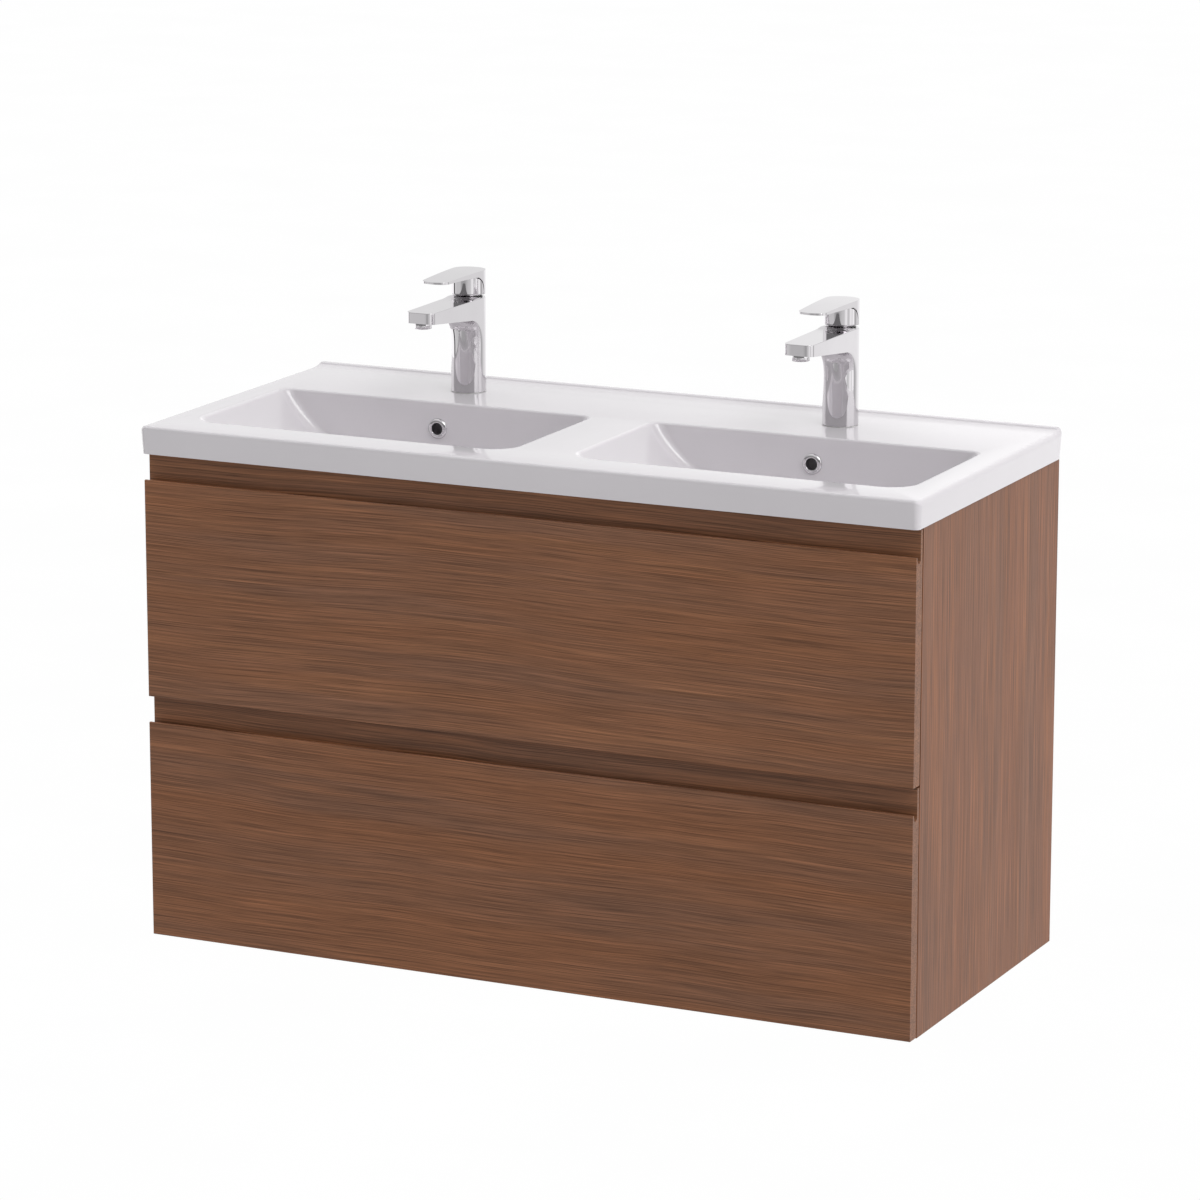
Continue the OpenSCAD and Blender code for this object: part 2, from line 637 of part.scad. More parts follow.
module tap_body(s) color(chrome) at_tap(s) difference() {
    union() {
        translate([0, 0, gasket_t]) linear_extrude(spout_h - gasket_t) polygon(column_plan());
        intersection() {
            linear_extrude(spout_h + 1) polygon(spout_plan());
            along_x(tap_w + 2) polygon(spout_side());
        }
    }
    // seat of the cartridge
    translate([0, 0, spout_h - 42]) cylinder(r = cartridge_r, h = 43, $fn = 64);
    // waterway and the aerator's seat
    translate([0, aerator_y, spout_h - spout_tip_h / 2]) rotate([-93, 0, 0])
        cylinder(r = 3.5, h = -aerator_y, $fn = 32);
    translate([0, aerator_y, spout_h - spout_tip_h - 5]) cylinder(r = aerator_r, h = 6, $fn = 48);
    translate([0, aerator_y, spout_h - spout_tip_h]) cylinder(r = aerator_r - 1, h = 7, $fn = 48);
    // hollow foot, with the threaded inlets, their waterways and the stud's hole above it
    translate([0, 0, gasket_t - tiny]) cylinder(r = foot_r, h = foot_h + tiny, $fn = 64);
    for (x = inlet_x) translate([x, inlet_y, gasket_t + foot_h - tiny]) {
        cylinder(r = 4.5, h = 14 + tiny, $fn = 40);
        cylinder(r = 3.5, h = spout_h - 42 - foot_h, $fn = 32);
    }
    translate([0, stud_y, foot_h]) cylinder(r = stud_r, h = 15, $fn = 32);
}

module aerators() color(chrome) for (s = [left, right]) at_tap(s)
    translate([0, aerator_y, spout_h - spout_tip_h - 7]) difference() {
        union() {
            cylinder(r = aerator_r, h = 8, $fn = 48);
            translate([0, 0, 8 - tiny]) cylinder(r = aerator_r - 1, h = 5, $fn = 48);
        }
        translate([0, 0, -tiny]) cylinder(r = aerator_r - 2.2, h = 3, $fn = 48);
    }

// The curve where lever and hub part, drawn as (y, z) and set in by a gap: level
// under the lever, then down the front edge of its skirt
function parting(dy, dz) = arc([skirt_y - lever_r - dy, lever_h - lever_t - lever_r - dz], lever_r, 90, 0, 8);

// Round bar across the tap on the axis that the lever rocks on, reaching x each way
module pegs(r, x) translate([-x, pivot_y, pivot_z]) rotate([0, 90, 0]) cylinder(r = r, h = 2 * x, $fn = 40);

// Sleeve over the cartridge, which turns with the lever
module tap_hub(s) color(chrome) at_tap(s) difference() {
    union() {
        // visible front, flush with the column
        intersection() {
            linear_extrude(lever_h) polygon(column_plan());
            along_x(tap_w + 2) polygon(concat(
                [[-tap_w, hub_z], [-tap_w, lever_h - lever_t - 0.7]],
                parting(1.6, 0.7), [[skirt_y - 1.6, hub_z]]
            ));
        }
        // the part inside the lever's skirt
        intersection() {
            translate([0, 0, hub_z]) linear_extrude(lever_h - hub_z - 11) polygon(column_plan(3));
            block([-tap_w, -tap_w, 0], [tap_w, pivot_y - 2, lever_h]);
        }
        // ears, with the pegs that the lever rocks on
        intersection() {
            linear_extrude(lever_h) polygon(column_plan(3));
            block([-tap_w, 0, pivot_z - 3], [tap_w, pivot_y + 3, pivot_z + 3]);
        }
        pegs(peg_r, tap_w / 2 - 2.8);
    }
    translate([0, 0, hub_z - 1]) cylinder(r = 15.2, h = lever_h - hub_z - 13, $fn = 64);
}

// Flat lever that widens to the back, where it turns down round the hub
function lever_plan(inset = 0) = let (r = 7, x = 17.7 - inset, a = tap_w / 2 - inset) concat(
    arc([-x + r, -lever_l + r + inset], r, 180, 262, 6),
    arc([x - r, -lever_l + r + inset], r, 278, 360, 6),
    ellipse_arc([0, column_y + column_flat], a, column_back - inset, 0, 180)
);

function lever_side() = concat(
    [[-lever_l - 1, lever_h - 1.8 - lever_tip_t], [-lever_l - 1, lever_h - 1.8], [-60, lever_h - 0.4]],
    [[-15, lever_h], [8, lever_h], [16, lever_h - 0.8], [tap_w / 2, lever_h - 2.6]],
    [[tap_w / 2, skirt_z], [skirt_y, skirt_z]],
    [for (p = [8 : -1 : 0]) parting(0, 0)[p]]
);

module tap_lever(s) color(chrome) at_tap(s) difference() {
    intersection() {
        linear_extrude(lever_h + 1) polygon(lever_plan());
        along_x(tap_w + 2) polygon(lever_side());
    }
    // room for the hub under the lever
    translate([0, 0, skirt_z - 1]) linear_extrude(lever_h - 4 - skirt_z + 1) intersection() {
        polygon(lever_plan(2));
        translate([-tap_w, -18]) square([2 * tap_w, 60]);
    }
    pegs(peg_r + 0.1, tap_w / 2 - 2.5);
}

module cartridge(s) color(pipe_white) at_tap(s) {
    translate([0, 0, spout_h - 40]) cylinder(r = cartridge_r, h = 41, $fn = 64);
    translate([0, 0, spout_h]) cylinder(r = cartridge_r + 1, h = 0.5, $fn = 64);
    translate([0, 0, spout_h]) cylinder(r = 14.4, h = 16, $fn = 64);
}

module tap_gaskets() color(seal_black) for (s = [left, right]) at_tap(s) difference() {
    linear_extrude(gasket_t) polygon(column_plan(0.5));
    translate([0, 0, -tiny]) cylinder(r = foot_r, h = gasket_t + 2 * tiny, $fn = 64);
}

// Stud, open washer and nut that clamp each tap to the basin from below
module tap_fixings() color(brass_yellow) for (s = [left, right]) at_tap(s) {
    translate([0, stud_y, -48]) cylinder(r = stud_r, h = 48 + foot_h + 13, $fn = 32);
    translate([0, 0, -wall_t - 3]) difference() {
        cylinder(r = 25, h = 3, $fn = 64);
        block([-14, -30, -1], [14, 2, 4]);
        translate([0, stud_y, -1]) cylinder(r = stud_r, h = 5, $fn = 32);
    }
    translate([0, stud_y, -wall_t - 11]) difference() {
        cylinder(r = 7, h = 8, $fn = 6);
        translate([0, 0, -tiny]) cylinder(r = stud_r, h = 9, $fn = 32);
    }
}

// ---------------------------------------------------------------- nodes

side_panel(left);  // side_panel_left
side_panel(right);  // side_panel_right
bottom_panel();
front_rail();
back_rail_upper();
back_rail_lower();
cam_fasteners();
hanging_bracket(left);  // hanging_bracket_left
hanging_bracket(right);  // hanging_bracket_right
wall_plate(left);  // wall_plate_left
wall_plate(right);  // wall_plate_right
runner_channels(0);  // lower_runner_channels
runner_middles(0);  // lower_runner_middles
runner_slides(0);  // lower_runner_slides
runner_channels(1);  // upper_runner_channels
runner_middles(1);  // upper_runner_middles
runner_slides(1);  // upper_runner_slides
drawer_front(0);  // lower_front
drawer_side(0, left);  // lower_side_left
drawer_side(0, right);  // lower_side_right
drawer_back(0);  // lower_back
drawer_bottom(0);  // lower_bottom
drawer_brackets(0);  // lower_brackets
drawer_bumpers(0);  // lower_bumpers
drawer_front(1);  // upper_front
drawer_side(1, left);  // upper_side_left
drawer_side(1, right);  // upper_side_right
drawer_back(1);  // upper_back
drawer_bottom(1);  // upper_bottom
drawer_brackets(1);  // upper_brackets
drawer_bumpers(1);  // upper_bumpers
basin();
overflow_ring(left);  // overflow_ring_left
overflow_ring(right);  // overflow_ring_right
waste(left);  // waste_left
waste(right);  // waste_right
waste_plug(left);  // waste_plug_left
waste_plug(right);  // waste_plug_right
waste_seals();
waste_nuts();
trap_inlet(left);  // trap_inlet_left
trap_inlet(right);  // trap_inlet_right
trap_bottle(left);  // trap_bottle_left
trap_bottle(right);  // trap_bottle_right
trap_outlet(left);  // trap_outlet_left
trap_outlet(right);  // trap_outlet_right
trap_cups();
trap_nuts();
tap_body(left);  // tap_body_left
tap_body(right);  // tap_body_right
tap_hub(left);  // tap_hub_left
tap_hub(right);  // tap_hub_right
tap_lever(left);  // tap_lever_left
tap_lever(right);  // tap_lever_right
cartridge(left);  // cartridge_left
cartridge(right);  // cartridge_right
aerators();
tap_gaskets();
tap_fixings();
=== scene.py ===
import math

import bmesh
import bpy
from mathutils import Matrix, Vector


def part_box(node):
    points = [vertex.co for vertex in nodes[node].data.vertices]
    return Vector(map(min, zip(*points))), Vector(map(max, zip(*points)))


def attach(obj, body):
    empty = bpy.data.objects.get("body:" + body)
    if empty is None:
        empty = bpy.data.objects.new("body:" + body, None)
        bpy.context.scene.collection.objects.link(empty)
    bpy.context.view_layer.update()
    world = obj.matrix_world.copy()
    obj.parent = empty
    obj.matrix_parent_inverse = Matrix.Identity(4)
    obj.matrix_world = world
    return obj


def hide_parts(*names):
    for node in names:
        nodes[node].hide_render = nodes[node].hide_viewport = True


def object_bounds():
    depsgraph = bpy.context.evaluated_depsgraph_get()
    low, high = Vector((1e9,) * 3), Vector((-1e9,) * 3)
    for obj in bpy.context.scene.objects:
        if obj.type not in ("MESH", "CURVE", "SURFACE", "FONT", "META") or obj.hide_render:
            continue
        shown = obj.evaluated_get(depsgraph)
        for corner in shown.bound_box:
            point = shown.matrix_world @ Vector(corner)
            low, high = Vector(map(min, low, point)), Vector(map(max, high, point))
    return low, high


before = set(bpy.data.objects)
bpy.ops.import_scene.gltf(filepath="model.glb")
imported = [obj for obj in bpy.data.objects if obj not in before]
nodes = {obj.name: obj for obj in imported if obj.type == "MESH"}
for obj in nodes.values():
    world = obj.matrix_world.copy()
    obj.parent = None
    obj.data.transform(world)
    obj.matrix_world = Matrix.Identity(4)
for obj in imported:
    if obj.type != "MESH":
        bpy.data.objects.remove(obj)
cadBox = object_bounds()
mm = 0.001
sides = {"left": -1, "right": 1}


def toObject(bm, name, sharpAngle=40):
    bmesh.ops.recalc_face_normals(bm, faces=bm.faces[:])
    mesh = bpy.data.meshes.new(name)
    bm.to_mesh(mesh)
    bm.free()
    piece = bpy.data.objects.new(name, mesh)
    bpy.context.scene.collection.objects.link(piece)
    smoothed(piece, sharpAngle)
    return piece


def smoothed(piece, sharpAngle):
    for face in piece.data.polygons:
        face.use_smooth = True
    piece.data.set_sharp_from_angle(angle=math.radians(sharpAngle))


def settle(piece, body, slotName, material, *replaced):
    piece.data.materials.clear()
    piece.data.materials.append(material)
    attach(piece, body)
    if replaced:
        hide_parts(*replaced)


def startRing(bm, points):
    ring = [bm.verts.new(p) for p in points]
    for a, b in zip(ring, ring[1:] + ring[:1]):
        bm.edges.new((a, b))
    return ring


def loopEdges(bm, ring):
    return [bm.edges.get((a, b)) for a, b in zip(ring, ring[1:] + ring[:1])]


def growRing(bm, ring, points):
    # the ring's edges are drawn out once, then the new vertices go to their places
    made = bmesh.ops.extrude_edge_only(bm, edges=loopEdges(bm, ring))
    fresh = {v for v in made["geom"] if isinstance(v, bmesh.types.BMVert)}
    grown = []
    for v in ring:
        grown.append(next(e.other_vert(v) for e in v.link_edges if e.other_vert(v) in fresh))
    for v, p in zip(grown, points):
        v.co = p
    return grown


def loft(bm, rows):
    # rows of points become rings, each drawn out of the one before
    rings = [startRing(bm, rows[0])]
    for row in rows[1:]:
        rings.append(growRing(bm, rings[-1], row))
    return rings


def bridge(bm, ringA, ringB):
    bmesh.ops.bridge_loops(bm, edges=loopEdges(bm, ringA) + loopEdges(bm, ringB))


def arc(cx, cy, r, start, end, steps):
    points = []
    for i in range(steps + 1):
        a = math.radians(start + (end - start) * i / steps)
        points.append((cx + r * math.cos(a), cy + r * math.sin(a), math.cos(a), math.sin(a)))
    return points


def applyBoolean(piece, tool, operation):
    step = piece.modifiers.new("cut", "BOOLEAN")
    step.operation = operation
    step.solver = "EXACT"
    step.object = tool
    depsgraph = bpy.context.evaluated_depsgraph_get()
    result = bpy.data.meshes.new_from_object(piece.evaluated_get(depsgraph))
    piece.modifiers.clear()
    old = piece.data
    piece.data = result
    bpy.data.meshes.remove(old)
    bpy.data.objects.remove(tool)


def cylinder(bm, radius, depth, segments, place):
    bmesh.ops.create_cone(
        bm, cap_ends=True, segments=segments, radius1=radius, radius2=radius, depth=depth, matrix=place
    )


def block(bm, low, high):
    for v in bmesh.ops.create_cube(bm, size=1)["verts"]:
        v.co = Vector([lo + (c + 0.5) * (hi - lo) for c, lo, hi in zip(v.co, low, high)])


class Nodes:
    # writes a material's nodes one call at a time
    def __init__(self, name):
        self.material = bpy.data.materials.new(name)
        self.material.use_nodes = True
        self.tree = self.material.node_tree
        self.shader = self.tree.nodes["Principled BSDF"]

    def add(self, kind, inputs=None, **settings):
        node = self.tree.nodes.new(kind)
        for key, value in settings.items():
            setattr(node, key, value)
        for key, value in (inputs or {}).items():
            self.feed(node.inputs[key], value)
        return node

    def feed(self, socket, value):
        if isinstance(value, bpy.types.NodeSocket):
            self.tree.links.new(value, socket)
        else:
            socket.default_value = value

    def coords(self, scale=(1, 1, 1), turn=(0, 0, 0), shift=(0, 0, 0)):
        place = self.add("ShaderNodeTexCoord").outputs["Object"]
        settings = {"Vector": place, "Scale": scale, "Rotation": turn, "Location": shift}
        return self.add("ShaderNodeMapping", settings).outputs["Vector"]

    def noise(self, vector, scale, detail=4, rough=0.55):
        settings = {"Vector": vector, "Scale": scale, "Detail": detail, "Roughness": rough}
        return self.add("ShaderNodeTexNoise", settings).outputs["Fac"]

    def ramp(self, factor, *stops):
        node = self.add("ShaderNodeValToRGB", {"Fac": factor})
        spots = node.color_ramp.elements
        while len(spots) < len(stops):
            spots.new(0.5)
        for spot, (at, colour) in zip(spots, stops):
            spot.position = at
            spot.color = (*colour, 1) if isinstance(colour, tuple) else (colour, colour, colour, 1)
        return node.outputs["Color"]

    def mix(self, factor, a, b, kind="MIX"):
        node = self.add("ShaderNodeMix", data_type="RGBA", blend_type=kind)
        for socket, value in ((node.inputs["Factor"], factor), (node.inputs[6], a), (node.inputs[7], b)):
            self.feed(socket, (*value, 1) if isinstance(value, tuple) else value)
        return node.outputs[2]

    def spread(self, factor, low, high, fromLow=0.3, fromHigh=0.7):
        names = ("From Min", "From Max", "To Min", "To Max")
        settings = dict(zip(names, (fromLow, fromHigh, low, high)))
        return self.add("ShaderNodeMapRange", {"Value": factor, **settings}).outputs["Result"]

    def math(self, operation, a, b=0.0):
        node = self.add("ShaderNodeMath", operation=operation)
        self.feed(node.inputs[0], a)
        self.feed(node.inputs[1], b)
        return node.outputs[0]

    def bump(self, height, strength, distance):
        settings = {"Height": height, "Strength": strength, "Distance": distance}
        self.feed(self.shader.inputs["Normal"], self.add("ShaderNodeBump", settings).outputs["Normal"])

    def finish(self, **values):
        for key, value in values.items():
            self.feed(self.shader.inputs[key.replace("_", " ")], value)
        return self.material


# colours are linear; the vertical boards carry a darker, redder copy of the same wood, painted shade that
# offsets the brighter light falling on the side boards; the lower front carries a slightly darker copy
walnutFront = {
    "brown": (0.243, 0.102, 0.047),
    "grey": (0.208, 0.097, 0.054),
    "warm": (0.273, 0.120, 0.057),
    "dark": 0.68,
    "light": 1.34,
}
walnutLower = {
    "brown": (0.232, 0.096, 0.044),
    "grey": (0.198, 0.091, 0.050),
    "warm": (0.262, 0.112, 0.053),
    "dark": 0.66,
    "light": 1.36,
}
# painted shade: the side boards' copy of the walnut is darker and redder to offset the brighter light on
# them; the inner boards take the same copy
walnutSideShaded = {
    "brown": (0.216, 0.080, 0.033),
    "grey": (0.192, 0.078, 0.037),
    "warm": (0.246, 0.090, 0.033),
    "dark": 0.56,
    "light": 1.46,
}


def walnutLaminate(name, along, seed, look):
    m = Nodes(name)
    turn = (0, 0, 0) if along == "x" else (0, math.pi / 2, 0)
    # the grain only sways within the face of its board
    reach = (0.0, 0.0, 0.022) if along == "x" else (0.0, 0.022, 0.0)
    base = m.coords(turn=turn, shift=(seed, seed * 0.7, seed * 1.3))
    sway = m.add("ShaderNodeTexNoise", {"Vector": base, "Scale": 2.2, "Detail": 2.0}).outputs["Color"]
    swayed = m.add("ShaderNodeVectorMath", {0: sway, 1: reach}, operation="MULTIPLY").outputs[0]
    moved = m.add("ShaderNodeVectorMath", {0: base, 1: swayed}, operation="ADD").outputs[0]

    def grain(lengthwise, across):
        settings = {"Vector": moved, "Scale": (lengthwise, across, across)}
        return m.add("ShaderNodeMapping", settings).outputs["Vector"]

    bands = m.noise(grain(1.6, 22), 1.0, detail=3, rough=0.5)
    tones = m.noise(grain(2.6, 60), 1.0, detail=3, rough=0.5)
    streaks = m.noise(grain(2.4, 400), 1.0, detail=5, rough=0.75)
    fibres = m.noise(grain(7, 1000), 1.0, detail=3, rough=0.6)
    pores = m.noise(grain(20, 1500), 1.0, detail=2, rough=0.5)

    colour = m.mix(m.spread(bands, 0, 1, 0.36, 0.63), look["grey"], look["brown"])
    colour = m.mix(m.spread(tones, 0, 0.9, 0.50, 0.72), colour, look["warm"])
    shade = m.ramp(streaks, (0.30, look["dark"]), (0.5, 1.0), (0.70, look["light"]))
    colour = m.mix(1.0, colour, shade, "MULTIPLY")
    threads = m.ramp(fibres, (0.30, 0.47), (0.70, 1.53))
    colour = m.mix(1.0, colour, threads, "MULTIPLY")
    dashes = m.ramp(pores, (0.56, 1.0), (0.72, 0.66))
    colour = m.mix(1.0, colour, dashes, "MULTIPLY")
    m.feed(m.shader.inputs["Roughness"], m.spread(streaks, 0.50, 0.40))
    m.bump(m.math("ADD", fibres, streaks), 0.10, 0.6 * mm)
    return m.finish(Base_Color=colour, Specular_IOR_Level=0.3)


glaze = {
    "shade": (0.668, 0.641, 0.668),
    "pale": (0.692, 0.664, 0.692),
    "speck": (0.62, 0.61, 0.62),
}


def glazedCeramic():
    m = Nodes("glazed_ceramic")
    cloud = m.noise(m.coords(), 6, detail=3)
    speck = m.noise(m.coords(), 900, detail=1)
    colour = m.mix(m.spread(cloud, 0, 1), glaze["shade"], glaze["pale"])
    colour = m.mix(m.spread(speck, 0, 0.10, 0.66, 0.75), colour, glaze["speck"])
    ripple = m.noise(m.coords(), 22, detail=2)
    m.bump(m.math("ADD", m.math("MULTIPLY", cloud, 1.5), ripple), 0.05, 0.8 * mm)
    roughness = m.spread(m.noise(m.coords(), 35), 0.05, 0.11)
    return m.finish(Base_Color=colour, Roughness=roughness, IOR=1.52, Coat_Weight=0.3, Coat_Roughness=0.03)


def polishedChrome(name, tint=(0.65, 0.632, 0.65), rough=(0.02, 0.05)):
    m = Nodes(name)
    smear = m.noise(m.coords(), 38, detail=3, rough=0.5)
    film = m.noise(m.coords(scale=(1, 1, 0.4)), 120, detail=2)
    colour = m.mix(m.spread(smear, 0, 1), tint, tuple(0.97 * c for c in tint))
    colour = m.mix(m.spread(film, 0, 0.3, 0.55, 0.75), colour, tuple(0.94 * c for c in tint))
    return m.finish(Base_Color=colour, Metallic=1.0, Roughness=m.spread(smear, rough[0], rough[1]))


def brushedMetal(name, tint, along=(40, 900, 900), rough=(0.28, 0.45)):
    m = Nodes(name)
    lines = m.noise(m.coords(scale=along), 1, detail=3)
    cloud = m.noise(m.coords(), 30, detail=3)
    colour = m.mix(m.spread(lines, 0, 1), tint, tuple(0.80 * c for c in tint))
    colour = m.mix(m.spread(cloud, 0, 0.5, 0.55, 0.8), colour, tuple(0.70 * c for c in tint))
    m.bump(lines, 0.12, 0.3 * mm)
    return m.finish(Base_Color=colour, Metallic=1.0, Roughness=m.spread(cloud, rough[0], rough[1]))


def mouldedPlastic(name, tint, rough=(0.32, 0.48), relief=0.08):
    m = Nodes(name)
    grit = m.noise(m.coords(), 1400, detail=2)
    cloud = m.noise(m.coords(), 24, detail=3)
    colour = m.mix(m.spread(cloud, 0, 1), tint, tuple(0.90 * c for c in tint))
    m.bump(grit, relief, 0.3 * mm)
    return m.finish(Base_Color=colour, Roughness=m.spread(cloud, rough[0], rough[1]))


def drawerFoil():
    m = Nodes("drawer_foil")
    weaveA = m.noise(m.coords(scale=(60, 1600, 1600)), 1, detail=2)
    weaveB = m.noise(m.coords(scale=(1600, 60, 60)), 1, detail=2)
    cloud = m.noise(m.coords(), 9, detail=3)
    thread = m.math("ADD", weaveA, weaveB)
    colour = m.mix(m.spread(thread, 0, 1, 0.8, 1.2), (0.46, 0.455, 0.44), (0.56, 0.555, 0.54))
    colour = m.mix(m.spread(cloud, 0, 0.12), colour, (0.47, 0.46, 0.445))
    m.bump(thread, 0.12, 0.3 * mm)
    return m.finish(Base_Color=colour, Roughness=m.spread(cloud, 0.48, 0.60))


palette = {
    "frontWood": walnutLaminate("walnut_fronts", "x", 0.0, walnutFront),
    "lowerWood": walnutLaminate("walnut_lower_front", "x", 0.4, walnutLower),
    "sideWood": walnutLaminate("walnut_sides", "z", 3.1, walnutSideShaded),
    "innerWood": walnutLaminate("walnut_inner_boards", "x", 7.4, walnutSideShaded),
    "ceramic": glazedCeramic(),
    "tapChrome": polishedChrome("tap_chrome"),
    "wasteChrome": polishedChrome("waste_chrome", rough=(0.06, 0.12)),
    "runnerSteel": brushedMetal("runner_steel", (0.50, 0.51, 0.52), along=(900, 40, 900)),
    "zinc": brushedMetal("zinc_plate", (0.56, 0.57, 0.60), along=(300, 300, 60)),
    "brass": brushedMetal("fixing_brass", (0.66, 0.47, 0.18), along=(700, 700, 50)),
    "foil": drawerFoil(),
    "pipe": mouldedPlastic("pipe_plastic", (0.72, 0.72, 0.70)),
    "bumper": mouldedPlastic("bumper_plastic", (0.60, 0.60, 0.59), rough=(0.25, 0.35)),
    "cartridge": mouldedPlastic("cartridge_plastic", (0.030, 0.030, 0.032)),
    "rubber": mouldedPlastic("seal_rubber", (0.014, 0.014, 0.015), rough=(0.60, 0.75), relief=0.2),
}
print("materials made")


carried = {
    # start of the nodes' names: finish, width of the eased edges in millimetres
    "side_panel": ("sideWood", 0.5),
    "bottom_panel": ("innerWood", 0.4),
    "front_rail": ("innerWood", 0.4),
    "back_rail": ("innerWood", 0.4),
    "cam_fasteners": ("zinc", 0.25),
    "hanging_bracket": ("zinc", 0.5),
    "wall_plate": ("zinc", 0.3),
    "lower_runner": ("runnerSteel", 0.2),
    "upper_runner": ("runnerSteel", 0.2),
    "lower_front": ("lowerWood", 0.45),
    "upper_front": ("frontWood", 0.45),
    "lower_side": ("foil", 0.6),
    "upper_side": ("foil", 0.6),
    "lower_back": ("foil", 0.6),
    "upper_back": ("foil", 0.6),
    "lower_bottom": ("foil", 0.3),
    "upper_bottom": ("foil", 0.3),
    "lower_brackets": ("zinc", 0.3),
    "upper_brackets": ("zinc", 0.3),
    "lower_bumpers": ("bumper", 0.5),
    "upper_bumpers": ("bumper", 0.5),
    "waste_left": ("wasteChrome", 0.4),
    "waste_right": ("wasteChrome", 0.4),
    "waste_plug": ("tapChrome", 0.8),
    "waste_seals": ("rubber", 0.6),
    "waste_nuts": ("pipe", 0.5),
    "trap_": ("pipe", 0.5),
    "cartridge": ("cartridge", 0.3),
    "aerators": ("tapChrome", 0.5),
    "tap_gaskets": ("pipe", 0.2),
    "tap_fixings": ("brass", 0.3),
}
for nodeName, nodeObject in nodes.items():
    fits = [key for key in carried if nodeName.startswith(key)]
    if not fits:
        continue  # a new piece stands for this one
    finishName, easing = carried[max(fits, key=len)]
    nodeObject.data.materials.clear()
    nodeObject.data.materials.append(palette[finishName])
    weld = nodeObject.modifiers.new("weld", "WELD")
    weld.merge_threshold = 0.01 * mm
    ease = nodeObject.modifiers.new("ease", "BEVEL")
    ease.width = easing * mm
    ease.segments = 2
    ease.limit_method = "ANGLE"
    ease.angle_limit = math.radians(38)
    ease.harden_normals = True
print("carried-over pieces finished")


basinLow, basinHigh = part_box("basin")
basinForm = {
    "halfWidth": basinHigh[0],
    "front": basinLow[1],
    "coveRise": 4 * mm,       # of the deck towards the wall
    "coveDepth": 30 * mm,
    "rimHeight": 34 * mm,
    "lean": 2.3 * mm,         # of the rim, outwards and upwards
    "frontCorner": 9 * mm,
    "backCorner": 8 * mm,
    "frontEase": 3.75 * mm,   # rounds of the rim's top edges
    "sideEase": 7.5 * mm,
    "backEase": 1.5 * mm,
    "wall": 10 * mm,
    "skirtWall": 12 * mm,
    "tapHole": 17.5 * mm,
    "steps": 7,               # of each rounded edge
    "frontSteps": 8,          # of each corner in plan
    "backSteps": 6,
    "coveSteps": 6,
}
basinForm["deck"] = basinHigh[2] - basinForm["coveRise"]
bowlForm = {
    "x": 252.5 * mm,
    "halfWidth": 212.5 * mm,
    "front": basinForm["front"] + 58 * mm,
    "back": basinForm["front"] + 290 * mm,
    "depth": 85 * mm,
    "sideRadius": 170 * mm,
    "frontDraft": 12,
    "backDraft": 3,
    "frontFoot": 45 * mm,
    "backFoot": 26 * mm,
    "frontCorner": (32 * mm, 46 * mm),  # plan radius at the rim and at the floor
    "backCorner": (15 * mm, 19 * mm),
    "sideRim": 7 * mm,                  # rounds of the bowl's edge
    "frontRim": 4 * mm,
    "backRim": 3 * mm,
    "wasteY": -250 * mm,
    "recess": 32.6 * mm,
    "recessDepth": 2.5 * mm,
    "wasteHole": 22.5 * mm,
    "boss": 34 * mm,
    "bossDepth": 20 * mm,
    "wallRows": 26,
    "outerRows": 12,
}
tapY = -82 * mm
tapX = 250 * mm


def slabOutline():
    # plan points of the rim with their outward directions, from the front left corner round
    f = basinForm
    w, y0, r0, r1 = f["halfWidth"], f["front"], f["frontCorner"], f["backCorner"]
    points = arc(-w + r0, y0 + r0, r0, 180, 270, f["frontSteps"])
    points += arc(w - r0, y0 + r0, r0, 270, 360, f["frontSteps"])
    coveYs = [-f["coveDepth"] + (f["coveDepth"] - r1) * i / f["coveSteps"] for i in range(f["coveSteps"])]
    points += [(w, y, 1, 0) for y in coveYs]
    points += arc(w - r1, -r1, r1, 0, 90, f["backSteps"])
    points += arc(-w + r1, -r1, r1, 90, 180, f["backSteps"])
    points += [(-w, y, -1, 0) for y in reversed(coveYs)]
    return points


def deckHeight(y):
    f = basinForm
    radius = (f["coveDepth"] ** 2 + f["coveRise"] ** 2) / (2 * f["coveRise"])
    into = max(0, y + f["coveDepth"])
    return f["deck"] + radius - math.sqrt(radius ** 2 - into ** 2)


def easeAt(nx, ny, front, side, back):
    share = nx * nx
    return side * share + (front if ny < 0 else back) * (1 - share)


def bowlCentres(thick):
    # heights are counted from the bowl's floor; thick moves every wall outwards
    b = bowlForm
    out = {}
    for key, draft, foot, edge, sign in (
        ("front", b["frontDraft"], b["frontFoot"], b["front"], 1),
        ("back", b["backDraft"], b["backFoot"], b["back"], -1),
    ):
        a = math.radians(draft)
        r = foot + thick
        inset = (b["depth"] + thick - r * (1 - math.sin(a))) * math.tan(a) + r * math.cos(a)
        out[key] = (edge - sign * thick + sign * inset, r, a, edge - sign * thick, sign)
    return out


def endWall(centre, h, thick):
    y, r, a, edge, sign = centre
    rise = h + thick
    if rise < r * (1 - math.sin(a)):
        return y - sign * math.sqrt(max(0, r * r - (r - rise) ** 2))
    return edge + sign * (bowlForm["depth"] - h) * math.tan(a)


def sideWall(h, thick):
    b = bowlForm
    r = b["sideRadius"]
    flat = b["halfWidth"] - r * math.sin(math.radians(60))
    return flat + math.sqrt(max(0, (r + thick) ** 2 - (r - h) ** 2))


